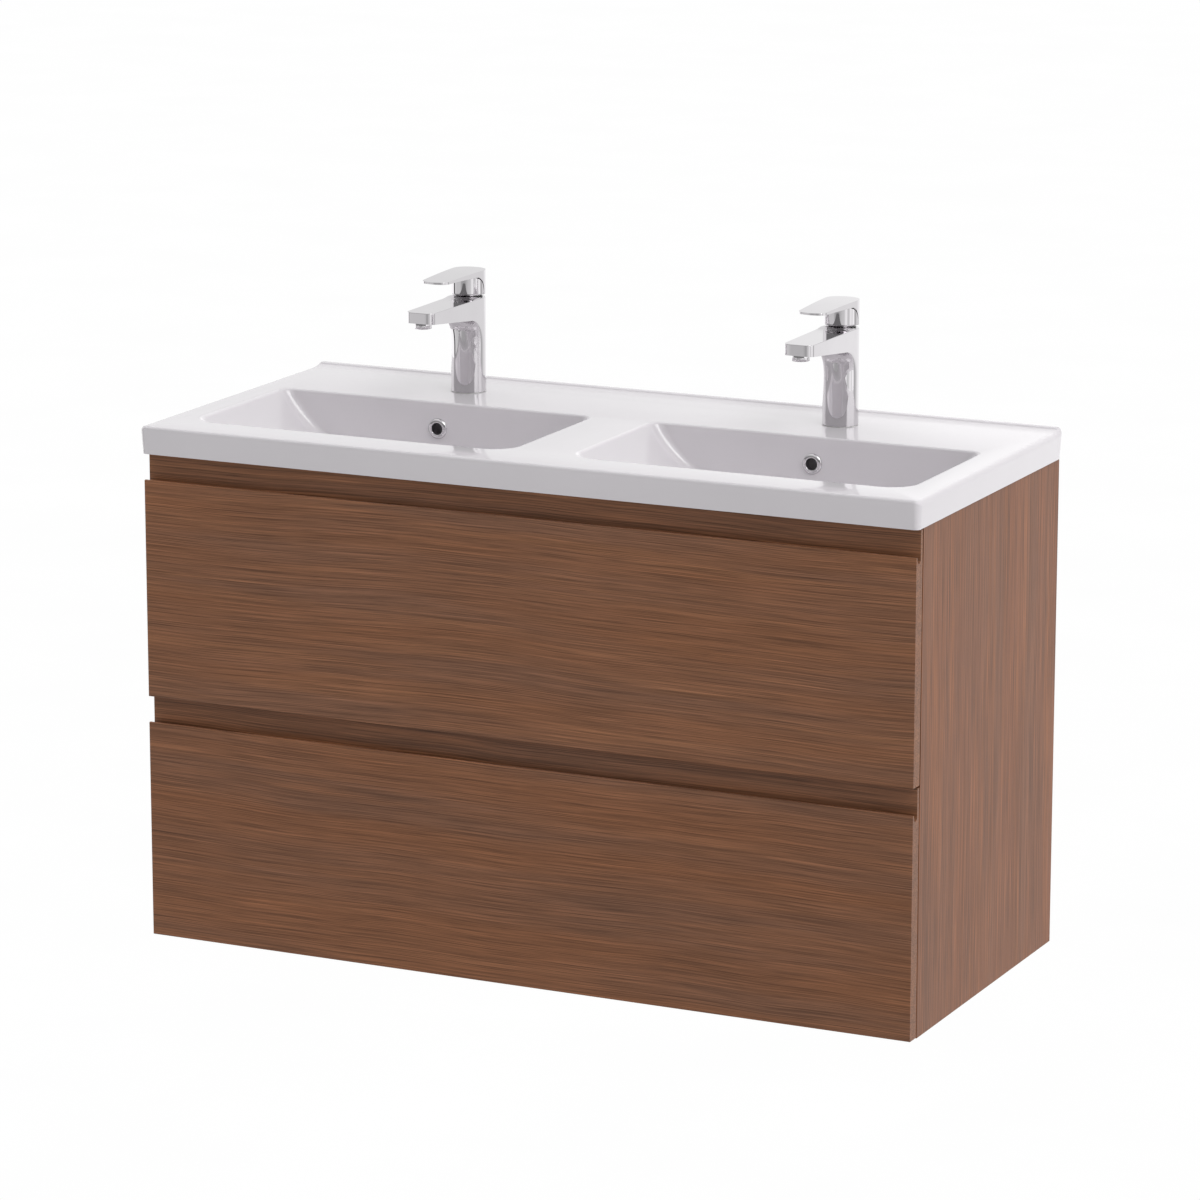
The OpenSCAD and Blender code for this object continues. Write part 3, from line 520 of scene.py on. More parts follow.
def bowlOutline(h, thick, centres):
    b = bowlForm
    x = sideWall(h, thick)
    yf = endWall(centres["front"], h, thick)
    yb = endWall(centres["back"], h, thick)
    low = 1 - max(0, h) / b["depth"]
    rf, rb = (c[0] + (c[1] - c[0]) * low + thick for c in (b["frontCorner"], b["backCorner"]))
    points = arc(-x + rf, yf + rf, rf, 180, 270, 10)
    points += [(t * (x - rf), yf, 0, -1) for t in (-0.5, 0, 0.5)]
    points += arc(x - rf, yf + rf, rf, 270, 360, 10)
    points += [(x, yf + rf + t * (yb - rb - yf - rf), 1, 0) for t in (0.33, 0.67)]
    points += arc(x - rb, yb - rb, rb, 0, 90, 10)
    points += [(-t * (x - rb), yb, 0, 1) for t in (-0.5, 0, 0.5)]
    points += arc(-x + rb, yb - rb, rb, 90, 180, 10)
    points += [(-x, yb - rb - t * (yb - rb - yf - rf), -1, 0) for t in (0.33, 0.67)]
    return points


def bowlRows(side):
    # rings from the deck over the rounded edge and down to the floor
    b = bowlForm
    centres = bowlCentres(0)
    rim = bowlOutline(b["depth"], 0, centres)
    step = 0.5 * mm
    below = bowlOutline(b["depth"] - step, 0, centres)
    shift = side * b["x"]
    rows = [[] for _ in range(basinForm["steps"])]
    starts = []
    for (x, y, nx, ny), (x1, y1, _, _) in zip(rim, below):
        outward = ((x - x1) * nx + (y - y1) * ny) / step
        slope = math.atan2(1, outward)
        r = easeAt(nx, ny, b["frontRim"], b["sideRim"], b["backRim"])
        reach = r * math.tan(slope / 2)
        for i, row in enumerate(rows):
            a = slope * i / len(rows)
            off = reach - r * math.sin(a)
            row.append((shift + x + nx * off, y + ny * off, basinForm["deck"] - r * (1 - math.cos(a))))
        starts.append(b["depth"] - reach * math.sin(slope))
    count = b["wallRows"]
    for k in range(count + 1):
        row = []
        tilt = math.radians(60) * (1 - k / count)
        share = (1 - math.cos(tilt)) / (1 - math.cos(math.radians(60)))
        for i, start in enumerate(starts):
            h = start * share
            x, y, _, _ = bowlOutline(h, 0, centres)[i]
            row.append((shift + x, y, basinForm["deck"] - b["depth"] + h))
        rows.append(row)
    return rows


def roundRow(side, row, r, z):
    # a circle round the waste, with a point towards each point of the row
    cx, cy = side * bowlForm["x"], bowlForm["wasteY"]
    points = []
    for x, y, _ in row:
        a = math.atan2(y - cy, x - cx)
        points.append((cx + r * math.cos(a), cy + r * math.sin(a), z))
    return points


def makeBasin():
    f, b = basinForm, bowlForm
    bm = bmesh.new()
    outline = slabOutline()
    bottomZ = f["deck"] - f["rimHeight"]

    def slabRow(inset, z, backInset=0):
        return [(x - nx * inset, y - ny * (inset if ny < 0 else backInset), z) for x, y, nx, ny in outline]

    outerBottom = startRing(bm, slabRow(f["lean"], bottomZ))
    ring = outerBottom
    easing = [easeAt(nx, ny, f["frontEase"], f["sideEase"], f["backEase"]) for _, _, nx, ny in outline]
    for i in range(f["steps"] + 1):
        a = math.pi / 2 * i / f["steps"]
        row = []
        for (x, y, nx, ny), r in zip(outline, easing):
            z = deckHeight(y) - r * (1 - math.sin(a))
            leaning = f["lean"] * (f["deck"] - z) / f["rimHeight"] if ny < 0.5 and z < f["deck"] else 0
            inset = r * (1 - math.cos(a)) + leaning
            row.append((x - nx * inset, y - ny * inset, z))
        ring = growRing(bm, ring, row)
    top = ring
    # the cove along the wall is drawn across from one end to the other
    firstCove = 2 * (f["frontSteps"] + 1)
    count = f["coveSteps"] + f["backSteps"] + 1
    right = top[firstCove:firstCove + count]
    left = top[firstCove + count:firstCove + 2 * count]
    for i in range(count - 1):
        a, c = right[i], right[i + 1]
        d, e = left[-1 - i], left[-2 - i]
        bm.faces.new((a, c, e, d))
    deckLoop = top[:firstCove + 1] + [left[-1]]
    deckEdges = [bm.edges.get(pair) for pair in zip(deckLoop, deckLoop[1:] + deckLoop[:1])]

    undersideZ = f["deck"] - f["wall"]
    skirtTop = startRing(bm, slabRow(f["lean"] + f["skirtWall"], undersideZ, f["skirtWall"]))
    skirtBottom = growRing(bm, skirtTop, [(v.co.x, v.co.y, bottomZ) for v in skirtTop])
    bridge(bm, skirtBottom, outerBottom)
    underEdges = loopEdges(bm, skirtTop)

    for side in (-1, 1):
        rows = bowlRows(side)
        rings = loft(bm, rows)
        deckEdges += loopEdges(bm, rings[0])
        ring = rings[-1]
        floorZ = f["deck"] - b["depth"]
        bossZ = floorZ - b["bossDepth"]
        last = rows[-1]
        for r, z in (
            (b["recess"] + 0.8 * mm, floorZ),
            (b["recess"] + 0.2 * mm, floorZ - 0.25 * mm),
            (b["recess"], floorZ - 0.8 * mm),
            (b["recess"], floorZ - b["recessDepth"]),
            (b["wasteHole"], floorZ - b["recessDepth"]),
            (b["wasteHole"], bossZ),
            (b["boss"], bossZ),
            (b["boss"], floorZ - f["wall"]),
        ):
            ring = growRing(bm, ring, roundRow(side, last, r, z))
        centres = bowlCentres(f["wall"])
        topH = b["depth"] - f["wall"]
        for k in range(b["outerRows"] + 1):
            share = (1 - math.cos(math.radians(60) * k / b["outerRows"])) * 2
            h = -f["wall"] + (topH + f["wall"]) * share
            outer = bowlOutline(h, f["wall"], centres)
            ring = growRing(bm, ring, [(side * b["x"] + x, y, floorZ + h) for x, y, _, _ in outer])
        underEdges += loopEdges(bm, ring)
        hole = [(side * tapX + x, tapY + y, f["deck"]) for x, y, _, _ in arc(0, 0, f["tapHole"], 0, 345, 23)]
        hole = startRing(bm, hole)
        deckEdges += loopEdges(bm, hole)
        lower = growRing(bm, hole, [(v.co.x, v.co.y, undersideZ) for v in hole])
        underEdges += loopEdges(bm, lower)
    bmesh.ops.triangle_fill(bm, use_beauty=True, edges=deckEdges, normal=(0, 0, 1))
    bmesh.ops.triangle_fill(bm, use_beauty=True, edges=underEdges, normal=(0, 0, -1))
    openEdges = sum(not e.is_manifold for e in bm.edges)
    print("basin: edges left open", openEdges, "faces", len(bm.faces))
    return toObject(bm, "ceramic_basin", 50)


basin = makeBasin()
settle(basin, "cabinet", "ceramic", palette["ceramic"], "basin")
print("basin made")


# the overflow ducts run from a hole in the bowl's back wall down to the waste
ductForm = {
    "halfWidth": 22 * mm,
    "top": 78 * mm,
    "bottom": -14 * mm,
    "back": -140 * mm,
    "wall": 4 * mm,
    "frontGap": 3 * mm,        # from the bowl's inner face to the duct's front
    "innerFront": -156 * mm,   # leaves most of the bowl's own wall
    "bite": 2 * mm,            # of the hollow into the bowl's underside
    "wasteCut": (-25 * mm, 5 * mm),
    "wasteSegments": 64,
    "holeRadius": 11 * mm,
    "holeHeight": 58 * mm,
    "holeDepth": 24 * mm,
    "holeSegments": 48,
}


def prism(bm, profile, low, high):
    # a solid along x from a side view drawn as (y, z)
    face = bm.faces.new([bm.verts.new((low, y, z)) for y, z in profile])
    made = bmesh.ops.extrude_face_region(bm, geom=[face])
    fresh = [v for v in made["geom"] if isinstance(v, bmesh.types.BMVert)]
    bmesh.ops.translate(bm, verts=fresh, vec=(high - low, 0, 0))


def addDucts():
    d, b = ductForm, bowlForm
    under = basinForm["deck"] - b["depth"] - basinForm["wall"]

    def ductShape(faceY, thick, end):
        # side view, from the bowl's back wall round to the waste
        high, low, back = d["top"] - thick, d["bottom"] + thick, d["back"] - thick
        waste = b["wasteY"]
        return [(faceY, high), (back, high), (back, low), (waste, low), (waste, end), (faceY, end)]

    outside = ductShape(b["back"] + d["frontGap"], 0, under)
    inside = ductShape(d["innerFront"], d["wall"], under + d["bite"])
    for kind, shape, width in (
        ("UNION", outside, d["halfWidth"]),
        ("DIFFERENCE", inside, d["halfWidth"] - d["wall"]),
    ):
        bm = bmesh.new()
        for side in (-1, 1):
            prism(bm, shape, side * tapX - width, side * tapX + width)
        applyBoolean(basin, toObject(bm, "duct_tool"), kind)
    # the ducts have closed the waste holes, so these are cut again
    bm = bmesh.new()
    low, high = d["wasteCut"]
    for side in (-1, 1):
        place = Matrix.Translation((side * b["x"], b["wasteY"], (low + high) / 2))
        cylinder(bm, b["wasteHole"] + 0.1 * mm, high - low, d["wasteSegments"], place)
    applyBoolean(basin, toObject(bm, "waste_tool"), "DIFFERENCE")
    bm = bmesh.new()
    for side in (-1, 1):
        place = Matrix.Translation((side * tapX, b["back"] + 2 * mm, d["holeHeight"]))
        place = place @ Matrix.Rotation(math.radians(90 + b["backDraft"]), 4, "X")
        cylinder(bm, d["holeRadius"], d["holeDepth"], d["holeSegments"], place)
    applyBoolean(basin, toObject(bm, "hole_tool"), "DIFFERENCE")
    smoothed(basin, 50)


addDucts()
print("basin ducts cut", len(basin.data.polygons))

ringForm = {
    # radius and height above the bowl's wall, round the section from the bore outwards
    "section": ((7.3, -7), (7.3, 2.4), (7.45, 2.9), (7.9, 3.2), (8.5, 3.25), (9.7, 3.0), (11.0, 2.45),
                (12.0, 1.7), (12.5, 0.9), (12.6, 0.1), (12.6, -0.5), (10.9, -0.5), (10.9, -7)),
    "segments": 96,
}


def makeRing(name, side):
    d, b = ductForm, bowlForm
    bm = bmesh.new()
    rows = []
    for r, h in ringForm["section"]:
        circle = arc(0, 0, r * mm, 0, 360, ringForm["segments"])[:-1]
        rows.append([(x, y, h * mm) for x, y, _, _ in circle])
    rings = loft(bm, rows)
    bridge(bm, rings[-1], rings[0])
    drop = (basinForm["deck"] - d["holeHeight"]) * math.tan(math.radians(b["backDraft"]))
    place = Matrix.Translation((side * tapX, b["back"] - drop, d["holeHeight"]))
    bm.transform(place @ Matrix.Rotation(math.radians(90 - b["backDraft"]), 4, "X"))
    return toObject(bm, name, 50)


for sideName, side in sides.items():
    overflow = makeRing("overflow_ring_form_" + sideName, side)
    settle(overflow, "cabinet", "tap_chrome", palette["tapChrome"], "overflow_ring_" + sideName)
print("overflow rings made")


# the taps are drawn about their own middle: heights are above the deck, forwards is negative
bodyForm = {
    "halfWidth": 21.5 * mm,
    "frontDepth": 20 * mm,     # half ellipses before and behind the flat sides
    "backDepth": 18 * mm,
    "flatFront": -1 * mm,
    "flatBack": 2.5 * mm,
    "foot": 1 * mm,
    "top": 118.5 * mm,
    "tip": -132.5 * mm,
    "tipHalfWidth": 18.5 * mm,
    "tipCorner": 8.5 * mm,
    "tipHeight": 13.5 * mm,
    "rise": math.radians(6),   # of the spout's underside
    "sideThroat": 34 * mm,     # rounds from the column into the underside
    "middleThroat": 16 * mm,
    "ramp": 2.9 * mm,          # the top rises to the sleeve within a reach
    "rampReach": 17 * mm,
    "rampPower": 2.6,
    "seat": 17 * mm,
    "seatDepth": 42 * mm,
    "footHollow": 16 * mm,
    "footDepth": 5 * mm,
    "inlets": ((-8 * mm, -5 * mm), (8 * mm, -5 * mm)),
    "inletRadius": 4.5 * mm,
    "inletDepth": 14 * mm,
    "inletSegments": 32,
    "ease": 0.8 * mm,
    "frontSteps": 28,
    "sideSteps": 14,
    "backSteps": 22,
    "throatSteps": 12,
    "tipSteps": 10,
    # shares of the way from the top's edge to the seat where its rings lie
    "topRings": (0.02, 0.10, 0.25, 0.42, 0.58, 0.70, 0.78, 0.84, 0.88, 0.91, 0.94, 0.97, 1.0),
}
hubForm = {
    "bottom": 122 * mm,
    "lowRound": 2.6 * mm,
    "bore": 15.2 * mm,
    "boreTop": 138.5 * mm,
    "partingGap": 0.7 * mm,    # to the lever above
    "seam": 1.4 * mm,          # and to its skirt
    "innerInset": 3 * mm,
    "innerTop": 141.5 * mm,
    "innerBack": 6 * mm,
    "innerRound": 0.2 * mm,
    "toolReach": 40 * mm,      # of the blocks that trim the sleeve
    "bendSteps": 12,
}
leverForm = {
    "top": 152.5 * mm,
    "tip": -96 * mm,
    "tipHalfWidth": 17.7 * mm,
    "tipCorner": 9.5 * mm,
    "tipBulge": 1.6 * mm,
    "tipDrop": 2.0 * mm,
    "tipThickness": 2.6 * mm,
    "thickness": 7 * mm,
    "levelFrom": -15 * mm,     # the top is level from here back
    "levelTo": 8 * mm,
    "backReach": 12.5 * mm,
    "backDrop": 0.1 * mm,
    "skirtBottom": 122.4 * mm,
    "skirtFront": 1.5 * mm,
    "skirtRound": 17 * mm,
    "skirtWall": 2 * mm,
    "ease": 0.7 * mm,
}


def undersideAt(y):
    b = bodyForm
    return b["top"] - b["tipHeight"] - (y - b["tip"]) * math.tan(b["rise"])


def throatStart(edge, radius):
    # height at which the round from an upright edge into the underside begins
    return undersideAt(edge) - radius * math.tan((math.pi / 2 - bodyForm["rise"]) / 2)


def profileAt(z, edge, radius):
    # how far forward the body reaches at a height: up the column, round the throat
    # and along the underside
    b = bodyForm
    turn = math.pi / 2 - b["rise"]
    start = throatStart(edge, radius)
    if z <= start:
        return edge
    if z < start + radius * math.sin(turn):
        return edge - radius + radius * math.cos(math.asin((z - start) / radius))
    return b["tip"] + (b["top"] - b["tipHeight"] - z) / math.tan(b["rise"])


def bodyWidth(y):
    b = bodyForm
    share = max(0, b["flatFront"] - y) / (b["flatFront"] - b["tip"] - b["tipCorner"])
    return b["halfWidth"] - (b["halfWidth"] - b["tipHalfWidth"]) * min(1, share)


def bodyRing(z, sideY, front):
    # back of the column, left side, the given front points, right side
    b = bodyForm
    half = arc(0, 0, 1, 0, 180, b["backSteps"])
    back = [(b["halfWidth"] * nx, b["flatBack"] + b["backDepth"] * ny, z) for _, _, nx, ny in half]
    steepest = math.radians(80)
    tangents = [math.tan(steepest * i / b["sideSteps"]) for i in range(1, b["sideSteps"])]
    ys = [b["flatBack"] + (sideY - b["flatBack"]) * t / math.tan(steepest) for t in tangents]
    left = [(-bodyWidth(y), y, z) for y in ys]
    return back + left + front + [(-x, y, h) for x, y, h in reversed(left)]


def frontCurve(z, sideY, depth):
    b = bodyForm
    width = bodyWidth(sideY)
    points = []
    for i in range(b["frontSteps"] + 1):
        a = math.pi * i / b["frontSteps"]
        y = sideY - depth * math.sin(a)
        points.append((-width * math.cos(a), y, z))
    return points


def tipCurve(z=None):
    b = bodyForm
    r, w, steps = b["tipCorner"], b["tipHalfWidth"], b["tipSteps"]
    plan = arc(-w + r, b["tip"] + r, r, 180, 270, steps) + arc(w - r, b["tip"] + r, r, 270, 360, steps)
    middle = b["frontSteps"] + 1 - len(plan)
    across = [((w - r) * (2 * (i + 1) / (middle + 1) - 1), b["tip"], 0, 0) for i in range(middle)]
    plan = plan[:steps + 1] + across + plan[steps + 1:]
    return [(x, y, undersideAt(y) if z is None else z) for x, y, _, _ in plan]


def circleRow(row, r, z):
    return [(r * x / math.hypot(x, y), r * y / math.hypot(x, y), z) for x, y, _ in row]


def makeBody(name):
    b = bodyForm
    bm = bmesh.new()
    sideEdge = (b["flatFront"], b["sideThroat"])
    middleEdge = (b["flatFront"] - b["frontDepth"], b["middleThroat"])
    levels = [b["foot"], 0.25 * b["top"]]
    turn = math.pi / 2 - b["rise"]
    steps = b["throatSteps"]
    for edge, radius in (sideEdge, middleEdge):
        start = throatStart(edge, radius)
        levels += [start + radius * math.sin(turn * i / steps) for i in range(steps + 1)]
    rows = []
    for z in sorted(levels):
        sideY = profileAt(z, *sideEdge)
        middleY = profileAt(z, *middleEdge)
        rows.append(bodyRing(z, sideY, frontCurve(z, sideY, sideY - middleY)))
    lastY = profileAt(max(levels), *sideEdge)
    for i in range(1, 4):
        y = lastY + (b["tip"] + b["tipCorner"] - lastY) * i / 3
        rows.append(bodyRing(undersideAt(y), y, frontCurve(undersideAt(y), y, 0)))
    cornerY = b["tip"] + b["tipCorner"]
    rows.append(bodyRing(undersideAt(cornerY) + 0.05 * mm, cornerY, tipCurve()))
    wide = bodyRing(b["top"], cornerY, tipCurve(b["top"]))
    rows.append([(x, y, b["top"] - b["ease"]) for x, y, _ in wide])
    for angle in (30, 60, 90):
        inset = b["ease"] * (1 - math.cos(math.radians(angle)))
        z = b["top"] - b["ease"] * (1 - math.sin(math.radians(angle)))
        shrinks = [1 - inset / math.hypot(x, y) for x, y, _ in wide]
        rows.append([(x * k, y * k, z) for (x, y, _), k in zip(wide, shrinks)])
    rim = rows[-1]
    for t in b["topRings"]:
        row = []
        for (x, y, _), (cx, cy, _) in zip(rim, circleRow(rim, b["seat"], 0)):
            px, py = x + (cx - x) * t, y + (cy - y) * t
            away = math.hypot(px, py)
            off = max(0, away - b["halfWidth"])
            ahead = min(1, max(0, -py / away - 0.15) / 0.5)    # none beside and behind the sleeve
            rise = b["ramp"] * ahead * max(0, 1 - off / b["rampReach"]) ** b["rampPower"]
            row.append((px, py, b["top"] + rise))
        rows.append(row)
    rows.append(circleRow(rim, b["seat"], b["top"] - b["seatDepth"]))
    rings = loft(bm, rows)
    bm.faces.new(rings[-1])
    low = growRing(bm, rings[0], circleRow(rows[0], b["footHollow"], b["foot"]))
    low = growRing(bm, low, circleRow(rows[0], b["footHollow"], b["foot"] + b["footDepth"]))
    bm.faces.new(low)
    body = toObject(bm, name, 32)
    bm = bmesh.new()
    for x, y in b["inlets"]:
        place = Matrix.Translation((x, y, b["foot"] + b["footDepth"] + b["inletDepth"] / 2 - 0.5 * mm))
        cylinder(bm, b["inletRadius"], b["inletDepth"] + 1 * mm, b["inletSegments"], place)
    applyBoolean(body, toObject(bm, "inlet_tool"), "DIFFERENCE")
    return body


def columnPlan(inset=0):
    # half an ellipse in front of the flat sides and another behind them
    b = bodyForm
    w = b["halfWidth"] - inset
    plan = []
    for y, depth, start, steps in (
        (b["flatFront"], b["frontDepth"], 180, 40),
        (b["flatBack"], b["backDepth"], 0, 36),
    ):
        half = arc(0, 0, 1, start, start + 180, steps)
        plan += [(w * nx, y + (depth - inset) * ny) for _, _, nx, ny in half]
    return plan


def sleeve(name, inset, top, rounding):
    # a thick ring round the cartridge, closed above it
    h = hubForm
    bm = bmesh.new()
    plan = columnPlan(inset)
    rows = [circleRow([(x, y, 0) for x, y in plan], h["bore"], z) for z in (h["boreTop"], h["bottom"])]
    for angle in (0, 22.5, 45, 67.5, 90):
        a = math.radians(angle)
        inner = columnPlan(inset + rounding * (1 - math.sin(a)))
        rows.append([(x, y, h["bottom"] + rounding * (1 - math.cos(a))) for x, y in inner])
    rows.append([(x, y, top) for x, y in plan])
    rings = loft(bm, rows)
    bm.faces.new(rings[0])
    bm.faces.new(rings[-1])
    return toObject(bm, name, 32)


def partingAt(y):
    # underside of the lever, and of the round where its skirt begins
    f = leverForm
    if y <= f["skirtFront"] - f["skirtRound"]:
        share = (f["skirtFront"] - f["skirtRound"] - y) / (f["skirtFront"] - f["skirtRound"] - f["tip"])
        thin = f["thickness"] + (f["tipThickness"] - f["thickness"]) * min(1, share)
        return leverTop(y) - thin
    if y < f["skirtFront"]:
        into = y - f["skirtFront"] + f["skirtRound"]
        fall = math.sqrt(f["skirtRound"] ** 2 - into ** 2)
        return f["top"] - f["thickness"] - f["skirtRound"] + fall
    return f["skirtBottom"]


def leverTop(y):
    f = leverForm
    ahead = max(0, f["levelFrom"] - y) / (f["levelFrom"] - f["tip"])
    behind = max(0, y - f["levelTo"]) / f["backReach"]
    return f["top"] - f["tipDrop"] * ahead ** 1.6 - f["backDrop"] * behind ** 2


def makeHub(name):
    # the sleeve fills what the lever and its skirt leave open, with a lower ring inside the skirt
    h, f = hubForm, leverForm
    beyond = h["toolReach"]
    low = h["bottom"] - 1 * mm
    hub = sleeve(name, 0, f["top"] - 2 * mm, h["lowRound"])
    ceiling = f["top"] - f["thickness"] - h["partingGap"]
    r = f["skirtRound"]
    bend = arc(f["skirtFront"] - r - h["seam"], ceiling - r, r, 90, 0, h["bendSteps"])
    front = [(-beyond, low), (-beyond, ceiling)] + [(y, z) for y, z, _, _ in bend]
    front.append((f["skirtFront"] - h["seam"], low))
    bm = bmesh.new()
    prism(bm, front, -beyond, beyond)
    applyBoolean(hub, toObject(bm, "front_tool"), "INTERSECT")
    inner = sleeve("inner_sleeve", h["innerInset"], h["innerTop"], h["innerRound"])
    bm = bmesh.new()
    block(bm, (-beyond, -beyond, low), (beyond, h["innerBack"], h["innerTop"] + 1 * mm))
    applyBoolean(inner, toObject(bm, "inner_tool"), "INTERSECT")
    applyBoolean(hub, inner, "UNION")
    return hub


def leverPlan(inset=0):
    # left half from the tip to the middle of the back
    f, b = leverForm, bodyForm
    r, w = f["tipCorner"] - inset, f["tipHalfWidth"] - inset
    corner = arc(-w + r, f["tip"] + f["tipBulge"] + inset + r, r, 270, 180, 10)
    half = [(-(w - r) * i / 4, f["tip"] + inset + f["tipBulge"] * (i / 4) ** 2) for i in range(1, 4)]
    half += [(x, y) for x, y, _, _ in corner]
    wide = b["halfWidth"] - inset
    start, end = half[-1][1], b["flatBack"]
    stops = [f["skirtFront"] - f["skirtRound"] * k for k in (1, 0.8, 0.6, 0.42, 0.27, 0.15, 0.07, 0.02)]
    ys = [start + (stops[0] - start) * i / 8 for i in range(1, 8)] + stops
    ys += [f["skirtFront"] - 0.1 * mm, f["skirtFront"] + 0.1 * mm, end]
    half += [(-w - (wide - w) * min(1, (y - start) / (b["flatFront"] - start)), y) for y in ys]
    quarter = arc(0, 0, 1, 180, 90, 16)[1:-1]
    half += [(wide * nx, end + (b["backDepth"] - inset) * ny) for _, _, nx, ny in quarter]
    return half


def makeLever(name):
    f = leverForm
    bm = bmesh.new()
    outer, inner = leverPlan(), leverPlan(f["skirtWall"])
    ys = [y for _, y in outer]
    ceiling = f["top"] - f["thickness"]

    def wholeRing(half, heights):
        left = [(x, y, z) for (x, y), z in zip(half, heights)]
        return left + [(-x, y, z) for x, y, z in reversed(left)]

    lows = [partingAt(y) for y in ys]
    rows = [
        wholeRing(inner, [max(low, ceiling) for low in lows]),
        wholeRing(inner, lows),
        wholeRing(outer, lows),
        wholeRing(outer, [leverTop(y) for y in ys]),
    ]
    rings = loft(bm, rows)
    count = len(outer)
    for loop in (rings[0], rings[-1]):
        for i in range(count - 1):
            bm.faces.new((loop[i], loop[i + 1], loop[-2 - i], loop[-1 - i]))
    bmesh.ops.remove_doubles(bm, verts=bm.verts[:], dist=0.01 * mm)
    bmesh.ops.dissolve_degenerate(bm, dist=0.01 * mm, edges=bm.edges[:])
    openEdges = sum(not e.is_manifold for e in bm.edges)
    print("lever: edges left open", openEdges)
    return toObject(bm, name, 30)


def easeEdges(piece, width):
    ease = piece.modifiers.new("ease", "BEVEL")
    ease.width = width
    ease.segments = 2
    ease.limit_method = "ANGLE"
    ease.angle_limit = math.radians(34)


def evenNormals(piece):
    flat = piece.modifiers.new("flat", "WEIGHTED_NORMAL")
    flat.keep_sharp = True
    flat.weight = 80


for sideName, side in sides.items():
    for make, part, node, body, form in (
        (makeBody, "tap_body_form_", "tap_body_", "cabinet", bodyForm),
        (makeHub, "tap_sleeve_form_", "tap_hub_", sideName + "_tap_hub", hubForm),
        (makeLever, "tap_lever_form_", "tap_lever_", sideName + "_tap_lever", leverForm),
    ):
        piece = make(part + sideName)
        piece.data.transform(Matrix.Translation((side * tapX, tapY, basinForm["deck"])))
        if "ease" in form:
            easeEdges(piece, form["ease"])
        evenNormals(piece)
        smoothed(piece, 32)
        settle(piece, body, "tap_chrome", palette["tapChrome"], node + sideName)
        print(piece.name, len(piece.data.polygons))


view = {
    "place": (2.64856, -5.76332, 1.30562),
    "turn": 25.567,   # degrees to the left of straight ahead
    "down": 13.078,
    "lens": 156.88,
}
studio = {
    # brightness round the horizon, by degrees from straight in front towards the right
    "walls": ((-180, 1.35), (-159.5, 1.35), (-157.6, 1.05), (-152.9, 0.88), (-150.8, 0.93), (-131, 0.88),
              (-126, 1.30), (-88, 1.30), (-82, 0.27), (58, 0.25), (64, 1.45), (118, 1.45), (124, 0.92),
              (170, 0.92), (180, 1.35)),
    # and just below it, where upright chrome looks
    "belt": ((-180, 1.2), (-154, 1.2), (-110, 1.45), (-82, 1.45), (-78, 0.02), (-72, 0.02), (-67, 0.95),
             (-52, 0.80), (-28, 0.80), (-18, 0.52), (2, 0.50), (14, 0.68), (24, 0.80), (38, 0.85), (46, 1.20),
             (54, 1.25), (62, 0.80), (70, 0.85), (80, 1.25), (88, 1.25), (94, 0.95), (103, 1.40), (110, 1.30),
             (121, 0.60), (130, 0.60), (142, 0.90), (149.4, 1.00), (153, 1.04), (154.5, 1.17), (158, 1.22)),
    "ceiling": 0.95,
    "ground": 0.68,
    # soft lamps: degrees round from the front, degrees up, half width in degrees, brightness
    "lamps": ((57, 47, 14, 4.8),),
    # how far down the belt reaches on the left
    "drop": ((-180, 0), (-165, 1), (-62, 1), (-50, 0), (180, 0)),
    "floorDrop": 0.42,
}


def makeCamera():
    data = bpy.data.cameras.new("camera")
    data.sensor_width = 36
    data.sensor_fit = "HORIZONTAL"
    data.lens = view["lens"]
    data.clip_end = 60
    camera = bpy.data.objects.new("camera", data)
    camera.location = view["place"]
    camera.rotation_euler = (math.radians(90 - view["down"]), 0, math.radians(view["turn"]))
    bpy.context.scene.collection.objects.link(camera)
    bpy.context.scene.camera = camera


class WorldNodes(Nodes):
    def __init__(self, name):
        world = bpy.data.worlds.new(name)
        bpy.context.scene.world = world
        world.use_nodes = True
        self.tree = world.node_tree
        self.shader = self.tree.nodes["Background"]


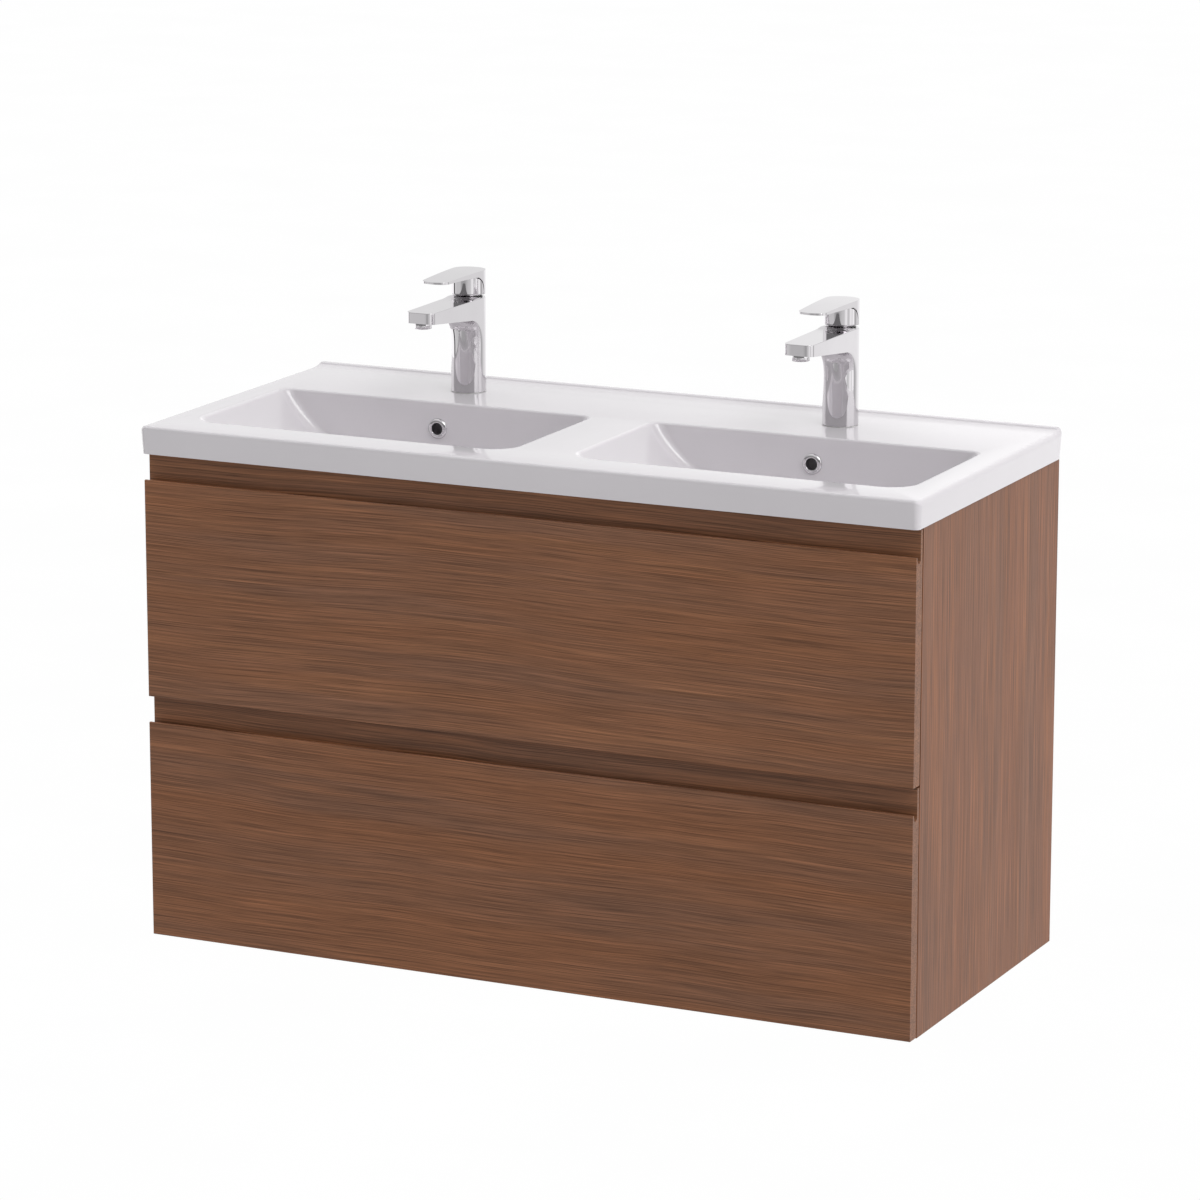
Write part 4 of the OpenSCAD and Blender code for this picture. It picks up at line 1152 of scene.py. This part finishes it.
def makeWorld():
    m = WorldNodes("studio")
    place = m.add("ShaderNodeTexCoord").outputs["Generated"]
    split = m.add("ShaderNodeSeparateXYZ", {"Vector": place}).outputs
    towards = m.math("ARCTAN2", split["X"], m.math("MULTIPLY", split["Y"], -1.0))
    share = m.spread(towards, 0, 1, -math.pi, math.pi)

    def horizon(stops):
        return m.ramp(share, *[((angle + 180) / 360, value) for angle, value in stops])

    room = m.mix(m.spread(split["Z"], 0, 1, -0.09, -0.14), horizon(studio["walls"]), horizon(studio["belt"]))
    room = m.mix(m.spread(split["Z"], 0, 1, 0.30, 0.80), room, (studio["ceiling"],) * 3)
    depth = m.math("MULTIPLY_ADD", horizon(studio["drop"]), 0.25)
    m.feed(depth.node.inputs[2], split["Z"])
    room = m.mix(m.spread(depth, 0, 1, -0.28, -0.45), room, (studio["ground"],) * 3)
    for azimuth, elevation, width, brightness in studio["lamps"]:
        aim = Vector((0, -math.cos(math.radians(elevation)), math.sin(math.radians(elevation))))
        aim.rotate(Matrix.Rotation(math.radians(azimuth), 3, "Z"))
        near = m.add("ShaderNodeVectorMath", {0: place, 1: aim}, operation="DOT_PRODUCT").outputs["Value"]
        edges = [math.cos(math.radians(width * k)) for k in (1.2, 0.8)]
        room = m.mix(m.spread(near, 0, 1, *edges), room, (brightness,) * 3)
    m.feed(m.shader.inputs["Color"], room)
    # the backdrop itself is plain white
    white = m.add("ShaderNodeBackground", {"Color": (1, 1, 1, 1)})
    path = m.add("ShaderNodeLightPath").outputs["Is Camera Ray"]
    both = m.add("ShaderNodeMixShader", {0: path, 1: m.shader.outputs[0], 2: white.outputs[0]})
    m.feed(m.tree.nodes["World Output"].inputs["Surface"], both.outputs[0])


def makeFloor():
    bm = bmesh.new()
    bmesh.ops.create_grid(bm, x_segments=1, y_segments=1, size=14)
    bmesh.ops.translate(bm, verts=bm.verts[:], vec=(0, 0, cadBox[0][2] - studio["floorDrop"]))
    floor = toObject(bm, "floor")
    m = Nodes("pale_floor")
    tone = m.spread(m.noise(m.coords(), 3), 0.99, 1.0)
    white = m.add("ShaderNodeEmission", {"Color": m.mix(1.0, (1.0, 1.0, 1.0), tone, "MULTIPLY")})
    clear = m.add("ShaderNodeBsdfTransparent")
    path = m.add("ShaderNodeLightPath").outputs["Is Camera Ray"]
    both = m.add("ShaderNodeMixShader", {0: path, 1: clear.outputs[0], 2: white.outputs[0]})
    m.feed(m.tree.nodes["Material Output"].inputs["Surface"], both.outputs[0])
    floor.data.materials.append(m.material)


makeCamera()
makeWorld()
makeFloor()
bpy.context.scene.view_settings.view_transform = "Standard"
print("studio ready")
